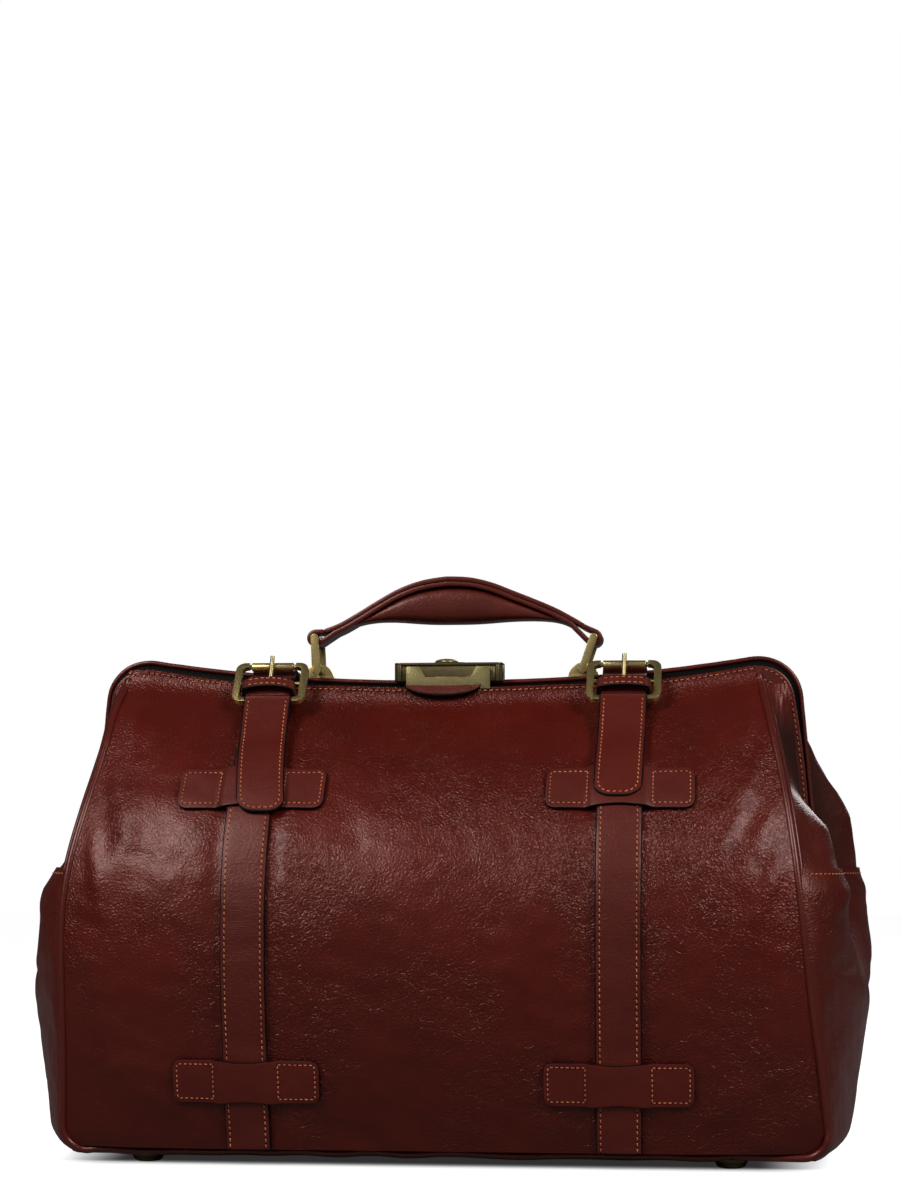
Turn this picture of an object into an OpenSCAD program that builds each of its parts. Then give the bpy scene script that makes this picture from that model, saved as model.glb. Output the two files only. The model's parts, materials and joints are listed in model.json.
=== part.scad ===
// Travel bag with a hinged two-half frame, two buckled straps and a swinging handle.
// X runs along the bag, the front faces -Y, Z is up. The origin is under the middle, on the floor.

/* [Bag] */
// Length of the front panel near the base
bag_length = 462; // [380:1:560]
// Depth of the belly from front seam to rear seam
bag_depth = 230; // [190:1:280]
// Height of the frame's shoulders above the floor
bag_height = 317; // [270:1:380]
// Height of the panels' lower edge above the floor
foot_height = 7; // [5:0.5:12]
// Drop of the frame's top bar between its shoulders
frame_dip = 15; // [0:1:25]
// Thickness of the outer leather
leather_t = 2.0; // [1.5:0.1:3]

/* [Frame] */
// Height of the frame's hinge above the floor
hinge_z = 200; // [150:1:240]
// Height of the leather bead that stands above the front bar
bead_h = 2.9; // [2:0.1:5]
// Depth of each half's channel, measured into the bag
channel_h = 12; // [8:0.5:18]
// Thickness of the frame steel
steel_t = 1.5; // [1:0.1:2.5]
// Radius of the hinge pins
pin_r = 2.5; // [2:0.1:4]

/* [Straps] */
// Distance from the middle of each handle lug to the middle of the strap beside it
strap_gap = 27; // [25:1:60]
// Width of the sewn straps and of the buckled strap
strap_w = 28; // [20:1:36]
// Thickness of the strap leather
strap_t = 2.4; // [1.8:0.1:3.5]
// Length of the tabs that hold the sewn straps
tab_l = 91; // [70:1:110]
// Lower edge of the upper tabs above the floor
upper_tab_z = 217; // [190:1:235]
// Height of the upper tabs
upper_tab_h = 25; // [18:1:32]
// Lower edge of the lower tabs above the floor
lower_tab_z = 39; // [25:1:60]
// Height of the lower tabs
lower_tab_h = 27; // [18:1:36]
// Lean of the buckles, in degrees from level
buckle_lean = 50; // [35:1:70]
// Width of the buckle frames
buckle_w = 47; // [40:1:60]
// Lower end of the left strap tip above the floor
left_tip_z = 213; // [200:1:240]
// Lower end of the right strap tip above the floor
right_tip_z = 226; // [200:1:240]

/* [Handle] */
// Distance from one handle lug to the other
lug_span = 172; // [140:1:220]
// Height of the rings between their two pivots
ring_h = 21.7; // [18:0.1:32]
// Outward lean of the left ring at rest
left_lean = 2.5; // [0:0.5:10]
// Outward lean of the right ring at rest
right_lean = 19; // [5:0.5:25]
// Width of the handle from front to rear
handle_w = 22; // [16:1:30]
// Rise of the handle's top above its ends
handle_rise = 39; // [30:1:60]
// Thickness of the grip in its middle
grip_h = 25; // [16:1:30]

/* [Lock] */
// Length of the lock case
lock_w = 70; // [56:1:90]
// Height of the lock case above the frame
lock_h = 10.2; // [8:0.1:16]
// Travel of the lock's button
button_travel = 4; // [2:0.5:6]

/* [Clearances] */
// Gap between a round part and the hole that it turns in
run_gap = 0.1; // [0.05:0.01:0.3]
// Gap between leather parts that lie on each other
lay_gap = 0.4; // [0.2:0.1:1]
// Gap between parts of different bodies
body_gap = 0.4; // [0.3:0.1:1]

/* [Hidden] */
$fn = 48;
kx = bag_length / 462;
ky = bag_depth / 230;
kz = bag_height / 317;
half_y = bag_depth / 2;
bead_y = 9.8;                        // each half's leather reaches this far from the split
split = body_gap / 2;
channel_y = bead_y - 1.3;
belly_z = 140 * kz;
corner_r = 15;
piping_r = 2.4;
base_z = foot_height - 1;            // underside of the bottom panel
board_z = foot_height + 2.1;
board_t = 2.4;
tub_z = board_z + board_t + 1.8;
lug_x = lug_span / 2;
strap_x = lug_x + strap_gap;
foot_x = 180 * kx;
foot_y = 80 * ky;
edge_inset = bead_h + 4.6;           // where the sewn edge of the panels begins on the frame
binding_inset = bead_h + channel_h + 1.6;
leg_slope = 0.095;
eye_r = 7;
eye_t = 2.8;
hinge_x = kx * 234.4;
pin_x0 = hinge_x - 7.2;
tip_gap = 0.5;

function mix(a, b, t) = a + (b - a) * t;
function clamp(t) = max(0, min(1, t));
function ease(t) = let (c = clamp(t)) c * c * (3 - 2 * c);
function unit(v) = v / norm(v);
function rev(list) = [for (i = [len(list) - 1 : -1 : 0]) list[i]];
function flip_x(list) = [for (p = rev(list)) [-p[0], p[1]]];

// Smooth curve through points, n steps to each span.
function span(a, b, c, d, t) = 0.5 * ((2 * b) + (c - a) * t + (2 * a - 5 * b + 4 * c - d) * t * t
    + (3 * b - a - 3 * c + d) * t * t * t);
function curve(p, n) = let (m = len(p) - 1) concat([for (i = [0 : m - 1], j = [0 : n - 1])
    span(p[max(0, i - 1)], p[i], p[i + 1], p[min(m, i + 2)], j / n)], [p[m]]);

// Line moved sideways by d to its right hand; d may be a number or one value to a point.
function side(p, i) = let (t = unit(p[min(i + 1, len(p) - 1)] - p[max(i - 1, 0)])) [t[1], -t[0]];
function moved(p, d) = [for (i = [0 : len(p) - 1]) p[i] + side(p, i) * (is_list(d) ? d[i] : d)];
function band(p, d0, d1) = concat(moved(p, d0), rev(moved(p, d1)));

// Rounded rectangle as points, so that it stays a set of flat faces.
function arc(cx, cy, r, a0, a1, n) = [for (i = [0 : n]) let (a = mix(a0, a1, i / n))
    [cx + r * cos(a), cy + r * sin(a)]];
function round_rect(w, h, r, n = 8) = concat(
    arc(w / 2 - r, h / 2 - r, r, 0, 90, n), arc(r - w / 2, h / 2 - r, r, 90, 180, n),
    arc(r - w / 2, r - h / 2, r, 180, 270, n), arc(w / 2 - r, r - h / 2, r, 270, 360, n));

// Outline extruded between two heights, depths or lengths.
module slab_y(y0, y1) translate([0, y1, 0]) rotate([90, 0, 0]) linear_extrude(y1 - y0) children();
module slab_x(x0, x1) translate([x0, 0, 0]) rotate([90, 0, 90]) linear_extrude(x1 - x0) children();
module slab_z(z0, z1) translate([0, 0, z0]) linear_extrude(z1 - z0) children();
module box(x0, x1, y0, y1, z0, z1) translate([x0, y0, z0]) cube([x1 - x0, y1 - y0, z1 - z0]);
module rod(a, b, r) {
    v = b - a;
    translate(a) rotate([0, acos(v[2] / norm(v)), atan2(v[1], v[0])]) cylinder(r = r, h = norm(v));
}
module both_x() { children(); mirror([1, 0, 0]) children(); }
module both_y() { children(); mirror([0, 1, 0]) children(); }

// Leather sheet over a surface f(u, v), from "low" to "high" along its outward normal.
function normal(f, u, v) = let (e = 0.004, u0 = max(0, u - e), u1 = min(1, u + e),
    v0 = max(0, v - e), v1 = min(1, v + e)) unit(cross(f(u1, v) - f(u0, v), f(u, v1) - f(u, v0)));
module sheet(f, nu, nv, low, high) {
    grid = [for (j = [0 : nv], i = [0 : nu]) let (u = i / nu, v = j / nv) [f(u, v), normal(f, u, v),
        is_function(low) ? low(u, v) : low, is_function(high) ? high(u, v) : high]];
    at = function (i, j) j * (nu + 1) + i;
    shell([for (g = grid) g[0] + g[1] * g[3]], [for (g = grid) g[0] + g[1] * g[2]],
        [for (j = [0 : nv - 1], i = [0 : nu - 1]) [at(i, j), at(i + 1, j), at(i + 1, j + 1), at(i, j + 1)]],
        concat([for (i = [0 : nu]) at(i, 0)], [for (j = [1 : nv]) at(nu, j)],
        [for (i = [nu - 1 : -1 : 0]) at(i, nv)], [for (j = [nv - 1 : -1 : 1]) at(0, j)]));
}

// Closed solid between two skins of the same layout, walled along their rim.
module shell(outer, inner, quads, rim) {
    m = len(outer);
    polyhedron(points = concat(outer, inner), faces = concat(
        [for (q = quads, k = [0, 1]) k == 0 ? [q[0], q[2], q[1]] : [q[0], q[3], q[2]]],
        [for (q = quads, k = [0, 1]) k == 0 ? [m + q[0], m + q[1], m + q[2]] : [m + q[0], m + q[2], m + q[3]]],
        [for (n = [0 : len(rim) - 1], k = [0, 1]) let (a = rim[n], b = rim[(n + 1) % len(rim)]) k == 0
            ? [a, b, m + b] : [a, m + b, m + a]]), convexity = 6);
}

// Closed skin through rings of points, with flat ends.
module skin(rings) {
    n = len(rings[0]);
    m = len(rings);
    polyhedron(points = [for (r = rings, p = r) p], faces = concat(
        [for (j = [0 : m - 2], i = [0 : n - 1], k = [0, 1]) let (i2 = (i + 1) % n) k == 0
            ? [j * n + i, (j + 1) * n + i2, j * n + i2] : [j * n + i, (j + 1) * n + i, (j + 1) * n + i2]],
        [[for (i = [0 : n - 1]) i]], [[for (i = [n - 1 : -1 : 0]) (m - 1) * n + i]]), convexity = 6);
}
function cord_ring(p, t, ref, r, n) = let (a = unit(ref - (ref * t) * t), b = cross(t, a))
    [for (k = [0 : n - 1]) p + r * (a * cos(360 * k / n) + b * sin(360 * k / n))];
module cord(path, r, ref, n) skin([for (i = [0 : len(path) - 1]) cord_ring(path[i],
    unit(path[min(i + 1, len(path) - 1)] - path[max(i - 1, 0)]), ref, r, n)]);

// The frame's outline: legs, rounded shoulders and a dipped top bar, from left hinge to right hinge.
function top_z(x) = kz * (302 + (15 - frame_dip)) + kz * frame_dip * pow(abs(x) / (200 * kx), 2.2);
function leg_x(z) = hinge_x - kx * leg_slope * (z / kz - 200);
turn_x = 193 * kx;
turn_dz = 2.2 * kz * frame_dip * pow(193 / 200, 1.2) / (200 * kx);
knee_x = (hinge_x + 19 * kx - kx * leg_slope * (top_z(turn_x) - turn_dz * turn_x) / kz)
    / (1 + kx * leg_slope * turn_dz / kz);
knee = [knee_x, top_z(turn_x) + turn_dz * (knee_x - turn_x)];
leg_end_z = knee[1] - 30 * kz;
function knee_arc(n) = let (a = [leg_x(leg_end_z), leg_end_z], b = [turn_x, top_z(turn_x)],
    c = mix(a, knee, 0.56), d = mix(b, knee, 0.56)) [for (i = [0 : n]) let (t = i / n, s = 1 - t)
    a * s * s * s + c * 3 * s * s * t + d * 3 * s * t * t + b * t * t * t];
function half_path(z0) = concat([for (i = [0 : 3]) let (z = mix(z0, leg_end_z, i / 4)) [leg_x(z), z]],
    knee_arc(8), [for (i = [1 : 8]) let (x = turn_x * (1 - i / 8)) [x, top_z(x)]]);
function frame_path(z0) = let (h = half_path(z0)) concat([for (p = h) [-p[0], p[1]]],
    [for (i = [len(h) - 2 : -1 : 0]) h[i]]);
module frame_strip(z0, d0, d1, y0, y1) {
    p = frame_path(z0);
    slab_y(y0, y1) polygon(band(p, d0, d1));
}

// Side seam, bottom corner and belly of the leather panels.
function edge_z(x) = top_z(min(abs(x), turn_x)) - binding_inset;
function tuck(z) = let (d = max(0, foot_height + corner_r - z)) corner_r - sqrt(corner_r * corner_r - d * d);
function seam_w(z) = let (t = (z / kz - 26) / 282) kx * (231 - 12 * t - 22 * pow(max(t, 0), 3)) - tuck(z);
function belly(z, ze) = z < belly_z ? half_y - 17 * ky * pow((belly_z - z) / (belly_z - foot_height), 1.5)
    : half_y - (half_y - 11) * pow(clamp((z - belly_z) / (ze - belly_z)), 2.4);
function swell(x, z) = 7 * (1 - pow(x / (232 * kx), 2)) * sin(180 * clamp((z - foot_height)
    / (edge_z(x) - foot_height)));
function face(x, z) = [x, -belly(z, edge_z(x)) - swell(x, z), z];
seam_top = edge_z(turn_x) - 1;
function seam(z) = [seam_w(z), -belly(z, edge_z(turn_x)), z];
panel_z0 = foot_height + 2.7;

function panel_f(u, v) = let (w = seam_w(mix(panel_z0, seam_top, v)) - piping_r - 0.4, x = (2 * u - 1) * w)
    face(x, mix(panel_z0, edge_z(x) - 0.4, v));
module panel() sheet(function (u, v) panel_f(u, v), 18, 16, -leather_t, 0);

// Gusset: a bulged lower part whose middle folds in as a V around the frame's legs.
fold_z = hinge_z + 5 * kz;
leg_gap = 12.9;                      // half the distance between the gusset's edges along the frame's legs
function out_x(z) = let (t = z / kz) kx * (t < 111 ? 253 + 15 * (t - 11) / 100
    : 268 - 14 * pow((t - 110) / 90, 1.5)) - tuck(z);
function fold_x(z) = let (t = z / kz) z > fold_z ? leg_x(z) - 8
    : min(out_x(z), mix(out_x(z), hinge_x - 8.2, ease((t - 92) / 100)));
function crest(z, rear) = lookup(z / kz, rear
    ? [[88, 0], [104, 6], [117, 15], [130, 23], [155, 34], [170, 37.5], [190, 38.5], [215, 37.5],
        [231, 30.5], [250, 21], [275, 10], [298, 0]]
    : [[95, 0], [117, 3], [130, 9], [155, 16.5], [168, 19], [180, 17.5], [206, 12], [230, 1],
        [250, -7], [275, -5], [298, 0]]);
function gusset_p(s, z, rear) = let (m = ease((z / kz - 165) / 45), above = z > fold_z, a = seam(z),
    web_y = above ? leg_gap : 12 * m, s1 = above ? 1 : 1 - 0.12 * m, q = min(1, s / s1),
    full = pow(sin(90 * q), 0.8), wide = 1 - cos(90 * q), low_out = rear ? full : mix(sin(90 * wide), full, 0.25),
    across = mix(wide, q, m), out = mix(low_out, q, m))
    [mix(a[0], fold_x(z), out) + kx * crest(z, rear) * pow(sin(180 * q), 1.5),
    s <= s1 ? mix(a[1], -web_y, across) : -web_y * (1 - s) / (1 - s1), z];
function gusset_s0(z, rear, s = 0.02) = s > 0.3 || norm(gusset_p(s, z, rear) - seam(z)) > piping_r + 1.4
    ? s : gusset_s0(z, rear, s + 0.005);
function gusset_f(u, v, rear) = let (z = mix(panel_z0 + 0.5, seam_top - 1, v), s0 = gusset_s0(z, rear))
    gusset_p(mix(s0, 1, u), z, rear);

// Leather sheet from the front seam to the rear seam, slit above the fold for the frame's legs.
gusset_n = 8;
gusset_rows = 35;
slit_row = floor(gusset_rows * (fold_z - panel_z0 - 0.5) / (seam_top - 1.5 - panel_z0));
function gusset_point(i, j, rear) = let (u = (rear ? 2 * gusset_n - i : i) / gusset_n, v = j / gusset_rows,
    f = function (a, b) gusset_f(a, b, rear), p = f(u, v), n = normal(f, u, v), s = rear ? -1 : 1,
    joined = i == gusset_n && j <= slit_row)
    [[p[0], s * p[1], p[2]], joined ? unit([n[0], 0, n[2]]) : [n[0], s * n[1], n[2]]];
module gusset_sheet(rows, low, high) {
    n = gusset_n;
    w = 2 * n + 1;
    slit = min(slit_row, rows);
    grid = concat([for (j = [0 : rows], i = [0 : 2 * n]) gusset_point(i, j, i > n)],
        [for (j = [slit + 1 : 1 : rows]) gusset_point(n, j, true)]);
    at = function (i, j, rear) i == n && rear && j > slit ? w * (rows + 1) + j - slit - 1 : j * w + i;
    shell([for (g = grid) g[0] + g[1] * high], [for (g = grid) g[0] + g[1] * low],
        [for (j = [0 : rows - 1], i = [0 : 2 * n - 1]) let (r = i >= n)
            [at(i, j, r), at(i + 1, j, r), at(i + 1, j + 1, r), at(i, j + 1, r)]],
        concat([for (i = [0 : 2 * n]) at(i, 0, false)], [for (j = [1 : rows]) at(2 * n, j, true)],
        [for (i = [2 * n - 1 : -1 : n]) at(i, rows, true)],
        [for (j = [rows - 1 : -1 : slit]) at(n, j, true)],
        [for (j = [slit + 1 : 1 : rows]) at(n, j, false)],
        [for (i = [n - 1 : -1 : 0]) at(i, rows, false)],
        [for (j = [rows - 1 : -1 : 1]) at(0, j, false)]));
}
module gusset() gusset_sheet(gusset_rows, -1.8, 0);

module gusset_left() color("saddlebrown") mirror([1, 0, 0]) gusset();
module gusset_right() color("saddlebrown") gusset();

// Outer layer of the gusset with a straight stitched top edge.
patch_rows = 21;
module patch() gusset_sheet(patch_rows, lay_gap, lay_gap + 1.4);
module gusset_patch_left() color("sienna") mirror([1, 0, 0]) patch();
module gusset_patch_right() color("sienna") patch();

module front_panel() color("brown") panel();
module back_panel() color("brown") mirror([0, 1, 0]) panel();

// Welt around each panel: side seams, bottom corners and bottom edge.
function welt_half() = concat([for (i = [0 : 15]) seam(mix(seam_top, foot_height + corner_r, i / 15))],
    [for (i = [1 : 5]) let (a = 18 * i) [seam_w(foot_height + corner_r) - corner_r + corner_r * cos(a),
        seam(foot_height + corner_r * (1 - sin(a)))[1], foot_height + corner_r * (1 - sin(a))]],
    [for (i = [1 : 4]) let (x = (seam_w(foot_height + corner_r) - corner_r) * (1 - i / 4))
        [x, seam(foot_height)[1], foot_height]]);
module welt() {
    h = welt_half();
    cord(concat(h, [for (i = [len(h) - 2 : -1 : 0]) [-h[i][0], h[i][1], h[i][2]]]), piping_r, [0, -1, 0.01], 8);
}
module piping_front() color("firebrick") welt();
module piping_back() color("firebrick") mirror([0, 1, 0]) welt();

// Base: bottom leather, stiff board and studs with their washers.
base_d = -seam(foot_height)[1] - piping_r - 0.4;
function base_side(rear) = let (z = panel_z0 + 0.5, s0 = gusset_s0(z, rear))
    [for (i = [0 : 12]) let (p = gusset_p(mix(s0, 1, i / 12), z, rear)) [p[0], max(p[1], -base_d)]];
base_right = concat(base_side(false), [for (i = [11 : -1 : 0]) let (p = base_side(true)[i]) [p[0], -p[1]]]);
module base_outline() {
    half = moved(base_right, -0.6);
    polygon(concat(half, flip_x(half)));
}
module at_feet() for (x = [-foot_x, foot_x], y = [-foot_y, foot_y]) translate([x, y, 0]) children();
module bottom_panel() color("saddlebrown") difference() {
    slab_z(base_z, base_z + 2.4) base_outline();
    at_feet() cylinder(r = 2.1, h = 40);
}
module base_board() color("dimgray") difference() {
    slab_z(board_z, board_z + board_t) polygon(round_rect(2 * out_x(panel_z0) - 24 * kx, 2 * base_d - 8, 60));
    at_feet() cylinder(r = 2.1, h = 40);
}
dome = [[0, 0], [6.2, 0], [7.6, 0.06], [8.8, 0.24], [9.6, 0.5], [9.9, 0.64], [10.4, 0.68], [10.4, 1], [2, 1]];
module feet() color("darkgoldenrod") at_feet() rotate_extrude() polygon(concat(
    [for (p = dome) [p[0], p[1] * base_z]], [for (x = [2, 0]) [x, board_z + board_t + 0.2]]));
module foot_washers() color("silver") at_feet() difference() {
    translate([0, 0, board_z + board_t]) cylinder(r = 5.5, h = 1);
    cylinder(r = 2.1, h = 40);
}

// Lining: a stiff tub up to the hinges and two soft pieces above it.
tub_top = hinge_z - 14;
tub_w = seam_w(hinge_z) - 12;
tub_d = base_d - 3;
module lining_tub() color("tan") {
    slab_z(tub_z, tub_z + 1.2) polygon(round_rect(2 * tub_w, 2 * tub_d, 30));
    slab_z(tub_z, tub_top) difference() {
        polygon(round_rect(2 * tub_w, 2 * tub_d, 30));
        polygon(round_rect(2 * tub_w - 2.8, 2 * tub_d - 2.8, 28.6));
    }
}
function lining_f(u, v) = let (z0 = tub_top + 2, w = seam_w(mix(z0, seam_top, v)) - 9, x = (2 * u - 1) * w)
    face(x, mix(z0, edge_z(x) - 2, v));
module lining_upper() sheet(function (u, v) lining_f(u, v), 10, 7, -leather_t - 2, -leather_t - 1);
module lining_front() color("tan") lining_upper();
module lining_back() color("tan") mirror([0, 1, 0]) lining_upper();

// Straps sewn on the panels, and the tabs that hold them.
tab_t = 2;
strap_top = edge_z(strap_x) - 16 * kz;
function on_face(x0, x1, z0, z1) = function (u, v) face(mix(x0, x1, u), mix(z0, z1, v));
module sewn_strap() sheet(on_face(strap_x - strap_w / 2, strap_x + strap_w / 2, foot_height + 3,
    strap_top), 3, 18, lay_gap, lay_gap + strap_t);
module tab(z0, h) {
    waist = function (x) 1 - 0.09 * ease(1 - abs(x - strap_x) / (strap_w / 2 + 6));
    f = function (u, v) let (x = strap_x + (u - 0.5) * tab_l) face(x, z0 + h / 2 + (v - 0.5) * h * waist(x));
    lift = function (u, v) (strap_t + lay_gap) * ease((strap_w / 2 + 8 - abs(u - 0.5) * tab_l) / 6);
    sheet(f, 22, 2, function (u, v) lay_gap + lift(u, v), function (u, v) lay_gap + tab_t + lift(u, v));
}
module straps() both_x() sewn_strap();
module front_straps() color("maroon") straps();
module back_straps() color("maroon") mirror([0, 1, 0]) straps();
module upper_tabs() both_x() tab(upper_tab_z * kz, upper_tab_h);
module lower_tabs() both_x() tab(lower_tab_z * kz, lower_tab_h);
module front_upper_tabs() color("sienna") upper_tabs();
module front_lower_tabs() color("sienna") lower_tabs();
module back_upper_tabs() color("sienna") mirror([0, 1, 0]) upper_tabs();
module back_lower_tabs() color("sienna") mirror([0, 1, 0]) lower_tabs();

// Hinge: each pin runs through an eye of the front half and an eye of the rear half.
module hinge_pin() {
    translate([pin_x0, 0, hinge_z]) rotate([0, 90, 0]) {
        cylinder(r = pin_r, h = 2 * eye_t + 4 * run_gap + 4);
        cylinder(r = pin_r + 1.8, h = 1.8);
        translate([0, 0, 2 * eye_t + 4 * run_gap + 1.8 + 0.4])
            cylinder(r1 = pin_r + 1.8, r2 = pin_r + 0.8, h = 1.8);
    }
}
module hinge_pins() color("silver") both_x() hinge_pin();
front_eye_x = pin_x0 + 1.8 + run_gap * 2;
rear_eye_x = front_eye_x + eye_t + run_gap * 3;
module eye(x) translate([x, 0, hinge_z]) rotate([0, 90, 0]) cylinder(r = eye_r, h = eye_t);
module eye_bores() both_x() translate([hinge_x - 20, 0, hinge_z]) rotate([0, 90, 0])
    cylinder(r = pin_r + run_gap, h = 40);
bar_z0 = hinge_z + eye_r + 2.4;
module channel() {
    frame_strip(bar_z0, bead_h, bead_h + steel_t, split + 1, channel_y);
    frame_strip(bar_z0, bead_h, bead_h + channel_h, channel_y - steel_t, channel_y);
}
module front_frame_bar() color([0.12, 0.12, 0.12]) difference() {
    union() {
        mirror([0, 1, 0]) {
            channel();
            frame_strip(bar_z0, bead_h, bead_h + channel_h, split, split + steel_t);
        }
        both_x() {
            eye(front_eye_x);
            box(front_eye_x, front_eye_x + eye_t, -eye_r, -split, hinge_z, bar_z0 + 5);
        }
    }
    eye_bores();
}
module rear_frame_bar() color([0.3, 0.3, 0.32]) difference() {
    union() {
        channel();
        frame_strip(bar_z0, bead_h, bead_h + channel_h, split + 1, split + 1 + steel_t);
        both_x() {
            eye(rear_eye_x);
            box(rear_eye_x, rear_eye_x + eye_t, split, eye_r, hinge_z, bar_z0 + 3);
            box(leg_x(bar_z0) - bead_h - 3, rear_eye_x + eye_t, split + 1, channel_y, bar_z0, bar_z0 + 3);
        }
    }
    eye_bores();
    roots(0.1);
}

// Sewn leather over both halves. The rear half's top edge is the bead.
bind_z0 = bar_z0 + 5.4;
function bind_inset(p) = mix(edge_inset, bead_h + 0.6, ease((abs(p[0]) / kx - 192) / 24));
module front_binding() color("saddlebrown") {
    p = frame_path(bind_z0);
    slab_y(-channel_y - 2.2, -channel_y) polygon(band(p, [for (q = p) bind_inset(q)], binding_inset));
}
module rear_binding() color("saddlebrown") difference() {
    union() {
        frame_strip(bind_z0, 0, bead_h, split, bead_y);
        frame_strip(bind_z0, bead_h, binding_inset, split, split + 1);
        frame_strip(bind_z0, bead_h, binding_inset, channel_y, bead_y);
    }
    box(-lock_w / 2, lock_w / 2, -1, 12, case_z, case_z + 10);
    roots(0.1);
}

// Handle lugs: half discs whose roots go down through the rear half's top.
lug_y = (split + bead_y) / 2;
lug_r = 9.8;
lug_z = top_z(lug_x) - 0.7;
ring_z = top_z(lug_x) + 3.8;
lug_t = 3.2;
module lug(gap) slab_y(lug_y - lug_t / 2 - gap, lug_y + lug_t / 2 + gap) polygon(concat(
    [[lug_x + lug_r + gap, lug_z - 9]], arc(lug_x, lug_z, lug_r + gap, 0, 180, 24),
    [[lug_x - lug_r - gap, lug_z - 9]]));
module roots(gap) both_x() lug(gap);
module handle_lugs() color("goldenrod") both_x() difference() {
    lug(0);
    translate([lug_x, 20, ring_z]) rotate([90, 0, 0]) cylinder(r = 1.6 + run_gap + 0.15, h = 40);
}

// Rings: flat rectangular loops seen edge-on, swinging on the lugs.
ring_d = handle_w + 5.5;
ring_bar_r = 1.6;
module ring() {
    for (z = [0, ring_h]) translate([0, ring_d / 2 - 1, z]) rotate([90, 0, 0])
        cylinder(r = ring_bar_r, h = ring_d - 2);
    for (y = [-ring_d / 2, ring_d / 2]) translate([0, y, ring_h / 2]) slab_y(-1.25, 1.25)
        polygon(round_rect(5, ring_h + 5, 2.4));
}
module place_ring(x, lean) translate([x, lug_y, ring_z]) rotate([0, lean, 0]) children();
module left_ring() color("goldenrod") place_ring(-lug_x, -left_lean) ring();
module right_ring() color("goldenrod") place_ring(lug_x, right_lean) ring();

// Handle: a double strap whose ends loop round the rings, over a bulged grip.
left_end = [-lug_x - ring_h * sin(left_lean), ring_z + ring_h * cos(left_lean)];
right_end = [lug_x + ring_h * sin(right_lean), ring_z + ring_h * cos(right_lean)];
end_bore_l = ring_bar_r + run_gap + 0.15;
end_bore_r = ring_bar_r + 0.75;
handle_t = 5;
mid_x = (left_end[0] + right_end[0]) / 2;
arch_w = (right_end[0] - left_end[0]) / 2;
function droop(q) = pow(q * q + 0.03, 0.6) - pow(0.03, 0.6);
function arch_z(x) = left_end[1] + handle_rise - (handle_rise - 5) * droop((x - mid_x) / arch_w) / droop(1);
arch_line = [for (i = [0 : 28]) let (x = mid_x + arch_w * (i / 14 - 1)) [x, arch_z(x) - handle_t / 2]];
module end_rod(p, r, l) translate([p[0], lug_y + l / 2, p[1]]) rotate([90, 0, 0]) cylinder(r = r, h = l);
module handle_strap() color("maroon") difference() {
    union() {
        slab_y(lug_y - handle_w / 2, lug_y + handle_w / 2) polygon(band(arch_line, -handle_t / 2, handle_t / 2));
        end_rod(left_end, 5.2, handle_w);
        end_rod(right_end, 5.6, handle_w);
    }
    end_rod(left_end, end_bore_l, 2 * handle_w);
    end_rod(right_end, end_bore_r, 2 * handle_w);
}
grip_x0 = mid_x - 0.84 * arch_w;
grip_x1 = mid_x + 0.84 * arch_w;
function grip_low(x) = let (t = (x - grip_x0) / (grip_x1 - grip_x0))
    arch_z(x) - handle_t - 0.2 - 2 - (arch_z(x) - handle_t - 2.2 - (arch_z(mid_x) - handle_t - grip_h))
    * pow(sin(180 * clamp(t)), 0.35);
function grip_ring(x) = let (hi = arch_z(x) - handle_t - 0.6, lo = grip_low(x), h = (hi - lo) / 2,
    w = handle_w / 2 * (0.72 + 0.28 * clamp(h / 8))) [for (k = [0 : 15]) let (a = 22.5 * k + 11.25,
    c = cos(a), s = sin(a)) [x, lug_y + w * sign(c) * pow(abs(c), 0.7), (hi + lo) / 2 + h * sign(s)
    * pow(abs(s), 0.7)]];
module handle_grip() color("saddlebrown") skin([for (i = [0 : 16]) grip_ring(mix(grip_x0, grip_x1, i / 16))]);

// Lock: case and slider on the rear half, notched plate with its catch on the front half.
case_z = top_z(0) - 0.8;
case_top = case_z + lock_h;
case_y = 9.6;
plate_t = 1.6;
module lock_case() color([0.36, 0.32, 0.2]) difference() {
    union() {
        slab_z(case_z, case_top) polygon(round_rect(lock_w, 2 * case_y, 3));
        for (x = [3.2 - lock_w / 2, lock_w / 2 - 3.2]) translate([x, -case_y, case_z])
            cylinder(r = 1.8, h = lock_h);
    }
    slab_z(case_z + 1.5, case_top - 1.5) polygon(round_rect(lock_w - 6, 2 * case_y - 3, 2));
    box(-9, 9, -20, 0, case_z + 1.5, case_z + 6.2);
    box(-2.4 - button_travel / 2, 2.4 + button_travel / 2, -2.4, 2.4, case_top - 3, case_top + 3);
}
module lock_top_plate() color("goldenrod") difference() {
    union() {
        slab_z(case_top, case_top + plate_t) polygon(round_rect(lock_w, 2 * case_y + 2, 4));
        slab_z(case_top + plate_t, case_top + plate_t + 0.6)
            polygon([for (i = [0 : 39]) [11.5 * cos(9 * i), 7.6 * sin(9 * i)]]);
    }
    box(-2.4 - button_travel / 2, 2.4 + button_travel / 2, -2.4, 2.4, case_top - 3, case_top + 6);
}
button_z = case_top + plate_t + 0.6 + 0.1;
slider_x = -button_travel / 2;
latch_z = case_z + 5.1;
module lock_button() color("gold") translate([slider_x, 0, 0]) {
    translate([0, 0, button_z]) rotate_extrude() polygon(concat([[0, 0], [7.5, 0]],
        [for (i = [0 : 8]) [7.5 * cos(11.25 * i), 0.5 + 1.9 * sin(11.25 * i)]]));
    translate([0, 0, latch_z + 1.8]) cylinder(r = 2, h = button_z - latch_z - 1.7);
}
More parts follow.
